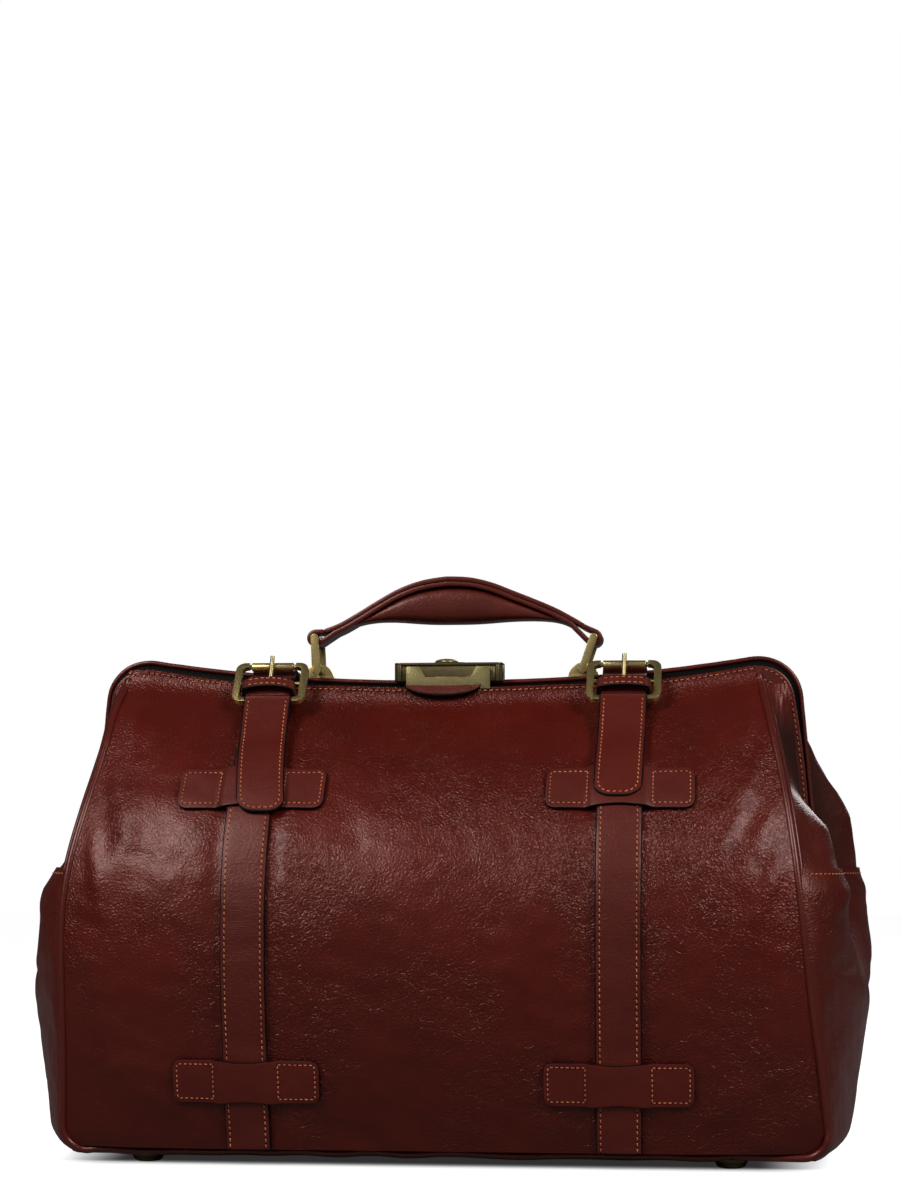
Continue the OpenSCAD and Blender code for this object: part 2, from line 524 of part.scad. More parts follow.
module latch_bar() color("silver") translate([slider_x, 0, 0]) {
    box(-14, 9, -5, 5, latch_z, latch_z + 1.8);
    translate([-8.2, -3, case_z + 1.9]) cylinder(r = 1.2, h = latch_z - case_z - 1.8);
}
plate_y = -channel_y - 2.2;
plate_w = 54;
module lock_front_plate() color("gold") {
    slab_y(plate_y - plate_t, plate_y - 0.1) polygon([[-plate_w / 2, case_z - 5], [plate_w / 2, case_z - 5],
        [plate_w / 2, case_z + 8.4], [plate_w / 2 - 0.8, case_z + 9.2], [plate_w / 2 - 8.6, case_z + 9.2],
        [plate_w / 2 - 12.4, case_z + 2.4], [12.4 - plate_w / 2, case_z + 2.4],
        [8.6 - plate_w / 2, case_z + 9.2], [0.8 - plate_w / 2, case_z + 9.2], [-plate_w / 2, case_z + 8.4]]);
    difference() {
        box(-7.5, 7.5, plate_y - 0.5, -0.6, case_z + 2.6, case_z + 4.6);
        box(-9, -4.6, -4.9, -1.4, case_z, case_z + 9);
    }
    box(-7.5, 7.5, plate_y - plate_t, plate_y - 0.1, case_z + 2, case_z + 4.6);
}
tab_w = 49;
module pull_tab() color("maroon") slab_y(plate_y - plate_t - 4.5, plate_y - plate_t - 0.1) translate([-2.5, 0])
    polygon([for (i = [0 : 20]) let (a = 180 + 9 * i) [tab_w / 2 * cos(a), case_z - 3.4 + 8.6 * sin(a)]]);

// Buckles, in a frame that lies on the strap: X along the bag, Y up the strap, Z away from it.
buckle_at = [strap_x, -14.5, top_z(strap_x) + 4.2];
function lay(p) = [buckle_at[1] + p[0] * cos(buckle_lean) - p[1] * sin(buckle_lean),
    buckle_at[2] + p[0] * sin(buckle_lean) + p[1] * cos(buckle_lean)];
module on_strap(s) translate([s * buckle_at[0], buckle_at[1], buckle_at[2]]) rotate([buckle_lean, 0, 0])
    children();
module side_of(s) { if (s > 0) children(); else mirror([1, 0, 0]) children(); }
side_w = 4.6;
buckle_l = 33.5;
heel_y = -29.5;
bar_y = -15;
bar_r = 1.6;
open_w = buckle_w - 2 * side_w;
module buckle_bar(y, w) translate([-w / 2, y, 0]) rotate([0, 90, 0]) cylinder(r = bar_r, h = w);
module buckle() color("goldenrod") {
    difference() {
        translate([0, heel_y / 2 + 0.2, -1.8]) linear_extrude(3.6) difference() {
            polygon(round_rect(buckle_w, buckle_l, 6));
            polygon(round_rect(open_w, buckle_l - 7, 3));
        }
        box(-15, 15, -4, 6, -5, 5);
    }
    buckle_bar(0, 34);
    buckle_bar(bar_y, open_w + 4);
}
module left_buckle() on_strap(-1) buckle();
module right_buckle() on_strap(1) buckle();
roller_r = 2.75;
module roller() color("gold") difference() {
    translate([-13.5, 0, 0]) rotate([0, 90, 0]) cylinder(r = roller_r, h = 27);
    translate([-20, 0, 0]) rotate([0, 90, 0]) cylinder(r = bar_r + run_gap, h = 40);
}
module left_roller() on_strap(-1) roller();
module right_roller() on_strap(1) roller();
prong_w = 4.4;
module prong() color("gold") difference() {
    union() {
        translate([-prong_w / 2, bar_y, 0]) rotate([0, 90, 0]) cylinder(r = 3.4, h = prong_w);
        rod([0, bar_y, 2.2], [0, 2.2, 4.9], 1.5);
        rod([0, 1.4, 4.7], [0, 4, 6.1], 1.4);
    }
    translate([-10, bar_y, 0]) rotate([0, 90, 0]) cylinder(r = bar_r + run_gap, h = 20);
}
module left_prong() on_strap(-1) prong();
module right_prong() on_strap(1) prong();

// Buckled strap: under the roller, over the middle bar, through the keeper, down to the loose tip.
head_line = curve([for (p = [[-27.9, 4.4], [-20, 5.5], [-15, 5.8], [-12, 4.7], [-8, 1.0], [-3, -3.6],
    [0, -4.6], [4, -4.9]]) lay(p)], 4);
head_end = [-split - 0.1, top_z(strap_x + strap_w / 2) + lay_gap + strap_t / 2 + 0.4];
tip_w = 30;
module strap_head() color("maroon") difference() {
    translate([strap_x, 0, 0]) slab_x(-strap_w / 2, strap_w / 2)
        polygon(band(concat(head_line, [head_end]), strap_t / 2, -strap_t / 2));
    on_strap(1) box(-2.7, 2.7, -18.6, -4, -3, 12);
}
module strap_heads() both_x() strap_head();
chape_line = curve([for (p = [[-15, -2.8], [-24, -3.2], [-34, -3.4], [-39, -4.2]]) lay(p)], 3);
module chape() color("sienna") difference() {
    union() {
        on_strap(1) difference() {
            translate([-strap_w / 2, bar_y, 0]) rotate([0, 90, 0]) cylinder(r = 3.9, h = strap_w);
            translate([-strap_w, bar_y, 0]) rotate([0, 90, 0]) cylinder(r = bar_r + 0.1, h = 2 * strap_w);
        }
        translate([strap_x, 0, 0]) slab_x(-strap_w / 2, strap_w / 2) polygon(band(chape_line, -1.1, 1.1));
    }
    on_strap(1) {
        box(-2.8, 2.8, bar_y - 3.8, bar_y + 6, -6, 6);
        translate([-strap_w, bar_y, 0]) rotate([0, 90, 0]) cylinder(r = bar_r + 0.1, h = 2 * strap_w);
    }
}
module chapes() both_x() chape();
module keeper() color("sienna") translate([0, -23, 1.1]) rotate([90, 0, 0]) translate([0, 0, -4])
    linear_extrude(8) difference() {
        polygon(round_rect(strap_w + 6, 15, 3));
        polygon(round_rect(strap_w + 2.6, 11.8, 1.6));
    }
module keepers() both_x() on_strap(1) keeper();
function over_face(z, d) = let (x = strap_x, a = face(x, z), b = face(x, z + 1), t = unit([b[1] - a[1],
    b[2] - a[2]])) [a[1], a[2]] + [-t[1], t[0]] * d;
clip_z = top_z(strap_x) + 30;        // above the tips' upper ends
lift_d = lay_gap * 3 + strap_t + tab_t + strap_t / 2 + 0.4;
module tip(z_end) {
    line = curve(concat([for (p = [[-27.9 - tip_gap, 4.3], [-33, 3.9]]) lay(p)],
        [for (z = [262, 250, 238, 226]) over_face(z * kz, lift_d)], [over_face(z_end * kz - 4, lift_d)]), 4);
    translate([strap_x, 0, 0]) intersection() {
        slab_x(-tip_w / 2, tip_w / 2) polygon(band(line, -strap_t / 2, strap_t / 2));
        slab_y(-200, 0) polygon(concat([[-tip_w / 2, clip_z]], [for (i = [0 : 16]) let (a = 180 + 11.25 * i)
            [tip_w / 2 * cos(a), z_end * kz + 11 + 11 * sin(a)]], [[tip_w / 2, clip_z]]));
    }
}
module left_tip() color("maroon") mirror([1, 0, 0]) tip(left_tip_z);
module right_tip() color("maroon") tip(right_tip_z);

// Rear ends of the buckled straps: from the rear panel over the frame's top to the split.
bridge_z = head_end[1];
tail_z = 281 * kz;                   // lower end of the strap on the rear panel
rear_line = curve(concat([[split + 0.1, bridge_z], [bead_y - 1, bridge_z], [bead_y + 3, bridge_z - 4],
    [bead_y + 4.4, bridge_z - 13]], [for (z = [tail_z + 4, tail_z]) let (p = over_face(z, lay_gap + strap_t / 2 + 1))
    [-p[0], p[1]]]), 4);
module strap_bridges() color("maroon") both_x() translate([strap_x, 0, 0])
    slab_x(-strap_w / 2, strap_w / 2) polygon(band(rear_line, -strap_t / 2, strap_t / 2));

front_panel();
back_panel();
gusset_left();
gusset_right();
gusset_patch_left();
gusset_patch_right();
piping_front();
piping_back();
bottom_panel();
base_board();
feet();
foot_washers();
lining_tub();
lining_front();
lining_back();
front_straps();
back_straps();
front_upper_tabs();
front_lower_tabs();
back_upper_tabs();
back_lower_tabs();
hinge_pins();
front_frame_bar();
rear_frame_bar();
front_binding();
rear_binding();
handle_lugs();
left_ring();
right_ring();
handle_strap();
handle_grip();
lock_case();
lock_top_plate();
lock_button();
latch_bar();
lock_front_plate();
pull_tab();
left_buckle();
right_buckle();
left_roller();
right_roller();
left_prong();
right_prong();
strap_heads();
chapes();
keepers();
left_tip();
right_tip();
strap_bridges();
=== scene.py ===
"""Looks of a leather travel bag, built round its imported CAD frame. Sizes below are in millimetres."""

import json
import math

import bpy
import numpy as np
from mathutils import Matrix, Vector


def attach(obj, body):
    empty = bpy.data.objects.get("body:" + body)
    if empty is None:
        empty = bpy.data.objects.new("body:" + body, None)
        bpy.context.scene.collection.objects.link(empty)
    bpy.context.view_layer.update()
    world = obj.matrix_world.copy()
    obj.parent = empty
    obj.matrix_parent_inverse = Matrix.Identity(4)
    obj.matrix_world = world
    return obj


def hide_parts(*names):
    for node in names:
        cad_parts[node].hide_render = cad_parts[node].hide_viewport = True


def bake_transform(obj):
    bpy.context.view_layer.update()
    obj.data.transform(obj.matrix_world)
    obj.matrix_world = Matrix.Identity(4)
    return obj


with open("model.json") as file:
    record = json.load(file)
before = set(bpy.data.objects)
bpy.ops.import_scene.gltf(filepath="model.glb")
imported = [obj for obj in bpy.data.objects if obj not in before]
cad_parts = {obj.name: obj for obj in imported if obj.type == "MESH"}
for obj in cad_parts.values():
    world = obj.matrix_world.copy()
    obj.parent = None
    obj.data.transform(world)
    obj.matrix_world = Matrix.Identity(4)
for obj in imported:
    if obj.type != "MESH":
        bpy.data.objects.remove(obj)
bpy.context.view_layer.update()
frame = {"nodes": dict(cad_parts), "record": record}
MM = 0.001

# ---- shape of the bag ----
# The frame: hinge, corner, height of its binding, lean and lower end of its legs, and its curved top line.
HINGE_X, HINGE_Z, TURN_X, BINDING, LEG_LEAN, LEG_END = 234.4, 200.0, 193.0, 16.5, 0.095, 214.8
TOP_Z, TOP_RISE, TOP_REACH, TOP_CURVE = 302.0, 15.0, 200.0, 2.2
# The leather: its widest place, its depth at the frame, the turn to the bottom, and where its parts start and end.
BELLY_Y, BELLY_Z, EDGE_Y, TURN_IN = 115.0, 140.0, 11.0, 15.0
LOW_Z, PANEL_Z, FOLD_Z, PATCH_Z, LEG_GAP = 7.0, 9.7, 205.0, 181.0, 12.9
STRAP_X, STRAP_W, WELT_R = 113.0, 28.0, 2.4
BAG, FRONT, REAR = "bag", "front_frame", "rear_frame"


def mix(a, b, t):
    return a + (b - a) * t


def ease(t):
    t = np.clip(t, 0, 1)
    return t * t * (3 - 2 * t)


def points(x, y, z):
    """Points from their coordinates, each a number or an array."""
    return np.stack(np.broadcast_arrays(np.asarray(x, float), y, z), -1)


def unit(v):
    return v / np.maximum(np.linalg.norm(v, axis=-1, keepdims=True), 1e-9)


def steps(line):
    return np.linalg.norm(np.diff(line, axis=0), axis=1)


def run(line):
    """Length along a line of points, up to each of them."""
    return np.concatenate([[0], np.cumsum(steps(line))])


def read(table, at):
    """What a table of (place, value) pairs gives at a place."""
    table = np.asarray(table, float)
    return np.interp(at, table[:, 0], table[:, 1])


def square_to(f, u, v, e):
    """Direction square to the surface f at (u, v), found from points e beside it."""
    return unit(np.cross(f(u + e, v) - f(u - e, v), f(u, v + e) - f(u, v - e)))


def top_z(x):
    """Height of the frame's outer line."""
    return TOP_Z + TOP_RISE * (np.abs(x) / TOP_REACH) ** TOP_CURVE


def leg_x(z):
    """How far out the frame's legs are."""
    return HINGE_X - LEG_LEAN * (z - HINGE_Z)


def edge_z(x):
    """Height at which the leather leaves the frame's binding."""
    return top_z(np.minimum(np.abs(x), TURN_X)) - BINDING


SEAM_TOP = float(edge_z(TURN_X)) - 1


def tuck(z):
    """How far a wall turns in toward the bottom."""
    d = np.clip(LOW_Z + TURN_IN - z, 0, TURN_IN)
    return TURN_IN - np.sqrt(TURN_IN ** 2 - d * d)


def catmull(p, n=6):
    """A smooth line through the points p, with n steps from each to the next."""
    p = np.array(p, float)
    out = []
    for i in range(len(p) - 1):
        a, b, c, d = p[max(0, i - 1)], p[i], p[i + 1], p[min(len(p) - 1, i + 2)]
        for t in np.arange(n) / n:
            out.append(0.5 * (2 * b + (c - a) * t + (2 * a - 5 * b + 4 * c - d) * t * t
                              + (3 * b - a - 3 * c + d) * t ** 3))
    return np.array(out + [p[-1]])


def seam_w(z):
    """Half the width between the side seams."""
    t = (z - 26) / 282
    return 231 - 12 * t - 22 * np.maximum(t, 0) ** 3 - tuck(z)


def belly(z, ze):
    """Half the bag's depth at height z; the leather meets the frame at ze."""
    low = BELLY_Y - 17 * (np.clip(BELLY_Z - z, 0, None) / (BELLY_Z - LOW_Z)) ** 1.5
    high = BELLY_Y - (BELLY_Y - EDGE_Y) * np.clip((z - BELLY_Z) / (ze - BELLY_Z), 0, 1) ** 2.4
    return np.where(z < BELLY_Z, low, high)


def curved_in(x, z):
    """How far the panel's sides curve in toward the seam."""
    return 10 * np.clip((np.abs(x) - seam_w(z) + 80) / 80, 0, 1.15) ** 2 * (1 - ease((z - 235) / 50))


def face(x, z):
    """Point on the front leather's plain form."""
    x, z = np.broadcast_arrays(np.asarray(x, float), np.asarray(z, float))
    ze = edge_z(x)
    swell = 7 * (1 - (x / 232) ** 2) * np.sin(math.pi * np.clip((z - LOW_Z) / (ze - LOW_Z), 0, 1))
    return points(x, -belly(z, ze) - swell + curved_in(x, z), z)


PULL = {-1: [(8, 1), (60, 0.5), (100, 2), (160, 5.5), (215, 3), (245, 3), (262, 4), (290, 9), (307, 10.5)],
        1: [(8, 8), (60, 4), (100, 0.5), (160, -1.7), (235, -2), (275, -1.8), (305, -0.2)]}


def pulled(z, side):
    """How much further out the front seam runs on the left (-1) or right (1), where the real bag is drawn aside."""
    return read(catmull(PULL[side]), z)


def seam(z, side=0):
    """Seam of the front leather on the left (-1) or right (1), or of the back leather (0)."""
    x = seam_w(z) + (pulled(z, side) if side else 0)
    return points(x, -belly(z, edge_z(TURN_X)) + curved_in(x, z), z)


def off_face(x, z, d):
    """Point d outside the front leather, square to it."""
    return face(x, z) + square_to(face, x, z, 0.5) * np.asarray(d)[..., None]


def bumps(x, z, seed, size, count=14):
    """Smooth random relief between about -1 and 1; size is the distance between its hills."""
    rng = np.random.default_rng(seed)
    total = 0
    for _ in range(count):
        a, f = rng.uniform(0, math.pi), rng.uniform(0.6, 1.5) / size
        total = total + np.sin(2 * math.pi * f * (x * math.cos(a) + z * math.sin(a)) + rng.uniform(0, 6.3))
    return total / math.sqrt(count)


def ridge(x, z, a, b, width, height):
    """One fold: a ridge from a to b that fades at both ends."""
    a, b = np.array(a, float), np.array(b, float)
    d = b - a
    t = ((x - a[0]) * d[0] + (z - a[1]) * d[1]) / (d @ d)
    across = ((x - a[0]) * d[1] - (z - a[1]) * d[0]) / np.linalg.norm(d)
    return height * np.exp(-(across / width) ** 2) * np.sin(math.pi * np.clip(t, 0, 1)) ** 0.8


# Folds of the front leather: from, to, width and height.
FOLDS = [((197, 303), (184, 246), 5.0, 1.8), ((189, 300), (172, 250), 5.0, 1.0),
         ((206, 262), (168, 184), 6.5, 1.6), ((212, 232), (182, 168), 6.0, 1.3),
         ((199, 243), (160, 200), 4.0, 1.3), ((214, 200), (190, 140), 6.0, 1.6), ((186, 215), (150, 165), 5.0, 0.8),
         ((-202, 306), (-194, 240), 5.5, 1.0), ((-207, 262), (-186, 190), 7.0, 1.5),
         ((-214, 214), (-198, 140), 6.0, 1.5), ((-170, 232), (-215, 150), 9.0, 1.2),
         ((-160, 250), (-205, 196), 8.0, 0.7), ((140, 150), (146, 70), 6.0, 0.7), ((-70, 120), (-20, 160), 8.0, -0.4),
         ((60, 110), (15, 170), 9.0, 0.4), ((-205, 60), (-150, 32), 7.0, 0.8), ((210, 60), (160, 30), 7.0, 0.8)]


def relief(x, z):
    """How far the front leather stands out of its plain form."""
    reach = seam_w(z) + np.where(x < 0, pulled(z, -1), pulled(z, 1))
    inside = ease((reach - np.abs(x)) / 14) * ease((z - 12) / 16) * ease((edge_z(x) - z) / 26)
    beside = np.exp(-((np.abs(np.abs(x) - STRAP_X) - 18) / 4.5) ** 2)
    out = 0.42 * bumps(x, z, 3, 58) + 0.17 * bumps(x, z, 8, 19)
    out = out - 0.75 * beside * ease((z - 30) / 40)
    for a, b, w, h in FOLDS:
        out = out + ridge(x, z, a, b, w, h)
    edge = 0.5 * bumps(x, z * 0.3, 21, 34) * np.exp(-((z - 20) / 12) ** 2)
    top = 0.30 * bumps(x, z * 0.2, 5, 30) * np.exp(-((edge_z(x) - z - 3) / 9) ** 2)
    return out * inside + edge * ease((seam_w(z) - np.abs(x)) / 10) * ease((z - 10) / 5) + top


def out_x(z):
    """How far out the gusset's middle bulges."""
    above = 268 - 14 * (np.clip(z - 110, 0, None) / 90) ** 1.5
    return np.where(z < 111, 253 + 15 * (z - 11) / 100, above) - tuck(z)


def fold_x(z):
    """How far out the gusset's middle is, where it folds in between the frame's legs too."""
    low = np.minimum(out_x(z), mix(out_x(z), HINGE_X - 8.2, ease((z - 92) / 100)))
    return np.where(z > FOLD_Z, leg_x(z) - 8, low)


CREST = {"front": [(95, 0), (117, 3), (130, 9), (155, 16.5), (168, 19), (180, 17.5), (206, 12), (230, 1), (250, -7),
                   (275, -5), (298, 0)],
         "rear": [(88, 0), (104, 6), (117, 15), (130, 23), (155, 34), (170, 37.5), (190, 38.5), (215, 37.5),
                  (231, 30.5), (250, 21), (275, 10), (298, 0)],
         "sway": [(125, 0), (155, 2), (180, 4.5), (193, 6.5), (206, 6), (218, 3), (230, 0)]}


def crest(z, rear, sway):
    """How far each half of the gusset stands out beside its fold; the front halves differ by side (sway 1 or -1)."""
    return read(CREST["rear"], z) if rear else read(CREST["front"], z) + sway * read(CREST["sway"], z)


def gusset(s, z, rear, sway=0):
    """Right gusset's front half, or its rear half turned to the front, from the seam (s 0) to its middle (1)."""
    m = ease((z - 165) / 45)
    above = ease((z - FOLD_Z + 3) / 6)
    a = seam(z, 0 if rear else sway)
    web = mix(12 * m, LEG_GAP, above)
    s1 = mix(1 - 0.12 * m, 1.0, above)
    q = np.minimum(1, s / s1)
    full = np.clip(np.sin(math.pi / 2 * q), 0, 1) ** 0.8
    wide = 1 - np.cos(math.pi / 2 * q)
    low_out = full if rear else mix(np.sin(math.pi / 2 * wide), full, 0.25)
    out, across = mix(low_out, q, m), mix(wide, q, m)
    x = mix(a[..., 0], fold_x(z), out) + crest(z, rear, sway) * np.clip(np.sin(math.pi * q), 0, 1) ** 1.5
    y = np.where(s <= s1, mix(a[..., 1], -web, across), -web * (1 - s) / np.maximum(1 - s1, 1e-6))
    return points(x, y, z)


def gusset_off(s, z, rear, d, sway):
    """Point d outside the gusset, square to it."""
    e = 0.004
    n = unit(np.cross(gusset(np.minimum(s + e, 1), z, rear, sway) - gusset(np.maximum(s - e, 0), z, rear, sway),
                      gusset(s, z + 0.8, rear, sway) - gusset(s, z - 0.8, rear, sway)))
    return gusset(s, z, rear, sway) + n * np.asarray(d)[..., None]


def frame_line():
    """The frame's outer line from left leg to right leg, as (x, z) with the inward direction at each point."""
    dz = TOP_CURVE * TOP_RISE * (TURN_X / TOP_REACH) ** (TOP_CURVE - 1) / TOP_REACH
    kx = (HINGE_X + LEG_LEAN * HINGE_Z - LEG_LEAN * (top_z(TURN_X) - dz * TURN_X)) / (1 + LEG_LEAN * dz)
    knee = np.array([kx, top_z(TURN_X) + dz * (kx - TURN_X)])
    zl = knee[1] - 30
    a, b = np.array([leg_x(zl), zl]), np.array([TURN_X, top_z(TURN_X)])
    c, d = mix(a, knee, 0.56), mix(b, knee, 0.56)
    t = np.linspace(0, 1, 17)[:, None]
    arc = a * (1 - t) ** 3 + 3 * c * t * (1 - t) ** 2 + 3 * d * t * t * (1 - t) + b * t ** 3
    z = np.linspace(LEG_END, zl, 24)[:-1]
    x = np.linspace(TURN_X, 0, 40)[1:]
    right = np.vstack([np.stack([leg_x(z), z], 1), arc, np.stack([x, top_z(x)], 1)])
    line = np.vstack([right * [-1, 1], right[-2::-1]])
    along = unit(np.gradient(line, axis=0))
    return line, np.stack([along[:, 1], -along[:, 0]], 1)


LINE, INWARD = frame_line()
LINE_S = run(LINE)


def on_frame(s, inset, y):
    """Point at length s along the frame's line, moved inward and to depth y."""
    c = [np.interp(s, LINE_S, LINE[:, k]) + inset * np.interp(s, LINE_S, INWARD[:, k]) for k in (0, 1)]
    return points(c[0], y, c[1])


def along(line, t):
    """Point and sideways direction at share t of a flat line of points; the side is to the right hand."""
    s = run(line)
    d = unit(np.gradient(line, axis=0))
    t = np.asarray(t) * s[-1]
    p = np.stack([np.interp(t, s, line[:, k]) for k in (0, 1)], -1)
    d = unit(np.stack([np.interp(t, s, d[:, k]) for k in (0, 1)], -1))
    return p, np.stack([d[..., 1], -d[..., 0]], -1)


# ---- shaders ----
class Num:
    """A number in a shader. Arithmetic on it adds Math nodes."""

    def __init__(self, shade, out):
        self.shade, self.out = shade, out

    def do(self, operation, *rest, clamp=False):
        made = self.shade.node("ShaderNodeMath", {"operation": operation, "use_clamp": clamp},
                               dict(enumerate((self,) + rest)))
        return Num(self.shade, made.outputs[0])

    def __add__(self, other):
        return self.do("ADD", other)

    def __sub__(self, other):
        return self.do("SUBTRACT", other)

    def __rsub__(self, other):
        return (self * -1) + other

    def __mul__(self, other):
        return self.do("MULTIPLY", other)

    __radd__, __rmul__ = __add__, __mul__

    def over(self, low, high):
        """0 below low, 1 above high, smooth between them."""
        made = self.shade.node("ShaderNodeMapRange", {"interpolation_type": "SMOOTHSTEP"},
                               {"Value": self, "From Min": low, "From Max": high})
        return Num(self.shade, made.outputs["Result"])


class Shade:
    """One material and its nodes."""

    def __init__(self, name):
        self.mat = bpy.data.materials.new(name)
        self.mat.use_nodes = True
        self.tree = self.mat.node_tree
        self.tree.nodes.clear()
        self.shader = self.node("ShaderNodeBsdfPrincipled")
        out = self.node("ShaderNodeOutputMaterial")
        self.tree.links.new(self.shader.outputs[0], out.inputs["Surface"])

    def node(self, kind, settings=None, values=None):
        made = self.tree.nodes.new(kind)
        count = len(self.tree.nodes)
        made.location = (-220 * (count // 6), -260 * (count % 6))
        for key, value in (settings or {}).items():
            setattr(made, key, value)
        for key, value in (values or {}).items():
            self.put(made.inputs[key], value)
        return made

    def put(self, socket, value):
        if isinstance(value, Num):
            self.tree.links.new(value.out, socket)
        elif isinstance(value, bpy.types.NodeSocket):
            self.tree.links.new(value, socket)
        elif isinstance(value, tuple) and len(value) == 3 and len(socket.default_value) == 4:
            socket.default_value = (*value, 1)
        else:
            socket.default_value = value

    def place(self, kind="Object", scale=(1, 1, 1)):
        coord = self.node("ShaderNodeTexCoord").outputs[kind]
        if scale == (1, 1, 1):
            return coord
        return self.node("ShaderNodeVectorMath", {"operation": "MULTIPLY"}, {0: coord, 1: scale}).outputs[0]

    def noise(self, place, scale, detail=2.0, rough=0.5, twist=0.0):
        made = self.node("ShaderNodeTexNoise", None, {"Vector": place, "Scale": scale, "Detail": detail,
                                                      "Roughness": rough, "Distortion": twist})
        return Num(self, made.outputs["Fac"])

    def bent(self, place, scale, amount):
        """Place moved about by noise, so that what is drawn on it loses its straight lines."""
        made = self.node("ShaderNodeTexNoise", None, {"Vector": place, "Scale": scale, "Detail": 2.0})
        return self.node("ShaderNodeVectorMath", {"operation": "MULTIPLY_ADD"},
                         {0: made.outputs["Color"], 1: (amount,) * 3, 2: place}).outputs[0]

    def cells(self, place, scale):
        made = self.node("ShaderNodeTexVoronoi", {"feature": "DISTANCE_TO_EDGE"}, {"Vector": place, "Scale": scale})
        return Num(self, made.outputs["Distance"])

    def colour(self, share, a, b):
        made = self.node("ShaderNodeMix", {"data_type": "RGBA"}, {0: share, 6: a, 7: b})
        return made.outputs[2]

    def bump(self, height, depth, under=None):
        values = {"Height": height, "Distance": depth * MM, "Strength": 1.0}
        if under is not None:
            values["Normal"] = under
        return self.node("ShaderNodeBump", None, values).outputs[0]

    def finish(self, **sockets):
        for key, value in sockets.items():
            self.put(self.shader.inputs[key.replace("_", " ")], value)
        return self.mat


def rgb(r, g, b):
    """Linear colour from the 0 to 255 values of a picture."""
    return tuple((c / 255 / 12.92) if c <= 10 else ((c / 255 + 0.055) / 1.055) ** 2.4 for c in (r, g, b))


def leather(name, dark, light, wrinkles=1.0, grain=1.0, rough=0.36, coat=0.25, uv=False, low=False, folds=False):
    """Glazed calf: pebbled grain with painted shade in its valleys, wrinkles in patches, colour that varies slowly;
    low adds painted shade towards the bottom, folds painted shade in the gussets' fold.
    """
    s = Shade(name)
    at = s.place()
    slow, mid = s.noise(at, 9, 3), s.noise(at, 42, 3)
    patch = s.noise(at, 15, 2).over(0.40, 0.60)
    bent = s.bent(at, 110, 0.0045)
    cell = s.cells(bent, 430).over(0.0, 0.40)
    fine = s.cells(s.bent(at, 300, 0.0012), 780).over(0.0, 0.42)
    crease = s.noise(s.place("Object", (1.0, 1.0, 1.9)), 150, 2, 0.5, 1.4)
    lines = (s.noise(bent, 95, 2, 0.5, 0.8) - 0.5).do("ABSOLUTE").over(0.0, 0.06)
    height = cell * (patch * 0.3 + 0.36) * wrinkles + fine * (0.16 * grain)
    height = height + crease * (patch * 0.35 + 0.15) * wrinkles + lines * (patch * 0.5 + 0.05) * wrinkles + mid * 1.6
    if uv:
        fine_lines = s.noise(s.place("UV", (6.0, 90.0, 1.0)), 1.0, 3, 0.6, 0.6)
        height = height + fine_lines * 0.4
    share = (slow * 0.7 + mid * 0.5 + crease * 0.25 - 0.22).do("ADD", 0, clamp=True)
    base = s.colour(share, dark, light)
    # Painted shade in the grain's valleys: the colour darkens between the pebbles, most where the wrinkles are
    # strong.
    base = s.colour((1 - cell) * ((patch * 0.16 + 0.12) * wrinkles), base, tuple(c * 0.25 for c in dark))
    # low: painted shade, colour darker towards the bottom of the bag, below 130 mm and most below 20 mm.
    if low:
        z = Num(s, s.node("ShaderNodeSeparateXYZ", None, {0: s.place()}).outputs[2])
        base = s.colour(z.over(0.02, 0.13) * 0.4 + 0.6, tuple(c * 0.6 for c in dark), base)
    deep = 0.0
    # folds: painted shade in the gussets' fold, where they turn in between the frame's legs: near-black colour, less
    # coat and more roughness there.
    if folds:
        part = s.node("ShaderNodeSeparateXYZ", None, {0: s.place()})
        y, z = Num(s, part.outputs[1]), Num(s, part.outputs[2])
        deep = (1 - y.do("ABSOLUTE").over(0.018, 0.052)) * z.over(0.165, 0.195) * (1 - z.over(0.262, 0.288))
        base = s.colour(deep * 0.9, base, tuple(c * 0.12 for c in dark))
        coat = coat - deep * coat
    rough_now = (mid * 0.14 + cell * -0.05 + deep * 0.5 + (rough - 0.05)).do("ADD", 0, clamp=True)
    return s.finish(Base_Color=base, Roughness=rough_now, Normal=s.bump(height, 0.4), Coat_Weight=coat,
                    Coat_Roughness=0.24, Coat_Tint=(1.0, 0.86, 0.82), Specular_Tint=(1.0, 0.52, 0.45),
                    Specular_IOR_Level=0.42)


def painted(name, colour, rough):
    """Paint or lacquer, a little uneven."""
    s = Shade(name)
    at = s.place()
    soft = s.noise(at, 260, 3)
    return s.finish(Base_Color=s.colour(soft, colour, tuple(c * 1.8 for c in colour)), Roughness=rough,
                    Specular_IOR_Level=0.06, Normal=s.bump(soft, 0.15))


def metal(name, dark, light, rough=0.3, worn=0.6, metallic=1.0):
    """Antiqued metal: dark in the hollows, bright on the edges."""
    s = Shade(name)
    at = s.place()
    cloud, fine = s.noise(at, 120, 4, 0.6), s.noise(at, 900, 2)
    point = Num(s, s.node("ShaderNodeNewGeometry").outputs["Pointiness"])
    edge = point.over(0.47, 0.56)
    share = (cloud.over(0.28, 0.72) * (1 - worn) + edge * worn).do("ADD", 0, clamp=True)
    return s.finish(Base_Color=s.colour(share, dark, light), Metallic=metallic,
                    Roughness=(fine * 0.16 + (rough - 0.08) + (1 - share) * 0.12), Normal=s.bump(fine, 0.05))


def thread(name):
    s = Shade(name)
    at = s.place()
    tone = s.noise(at, 70, 2).over(0.3, 0.7)
    twist = s.noise(at, 2600, 1)
    return s.finish(Base_Color=s.colour(tone, rgb(136, 66, 34), rgb(178, 100, 58)), Roughness=0.6,
                    Normal=s.bump(twist, 0.12))


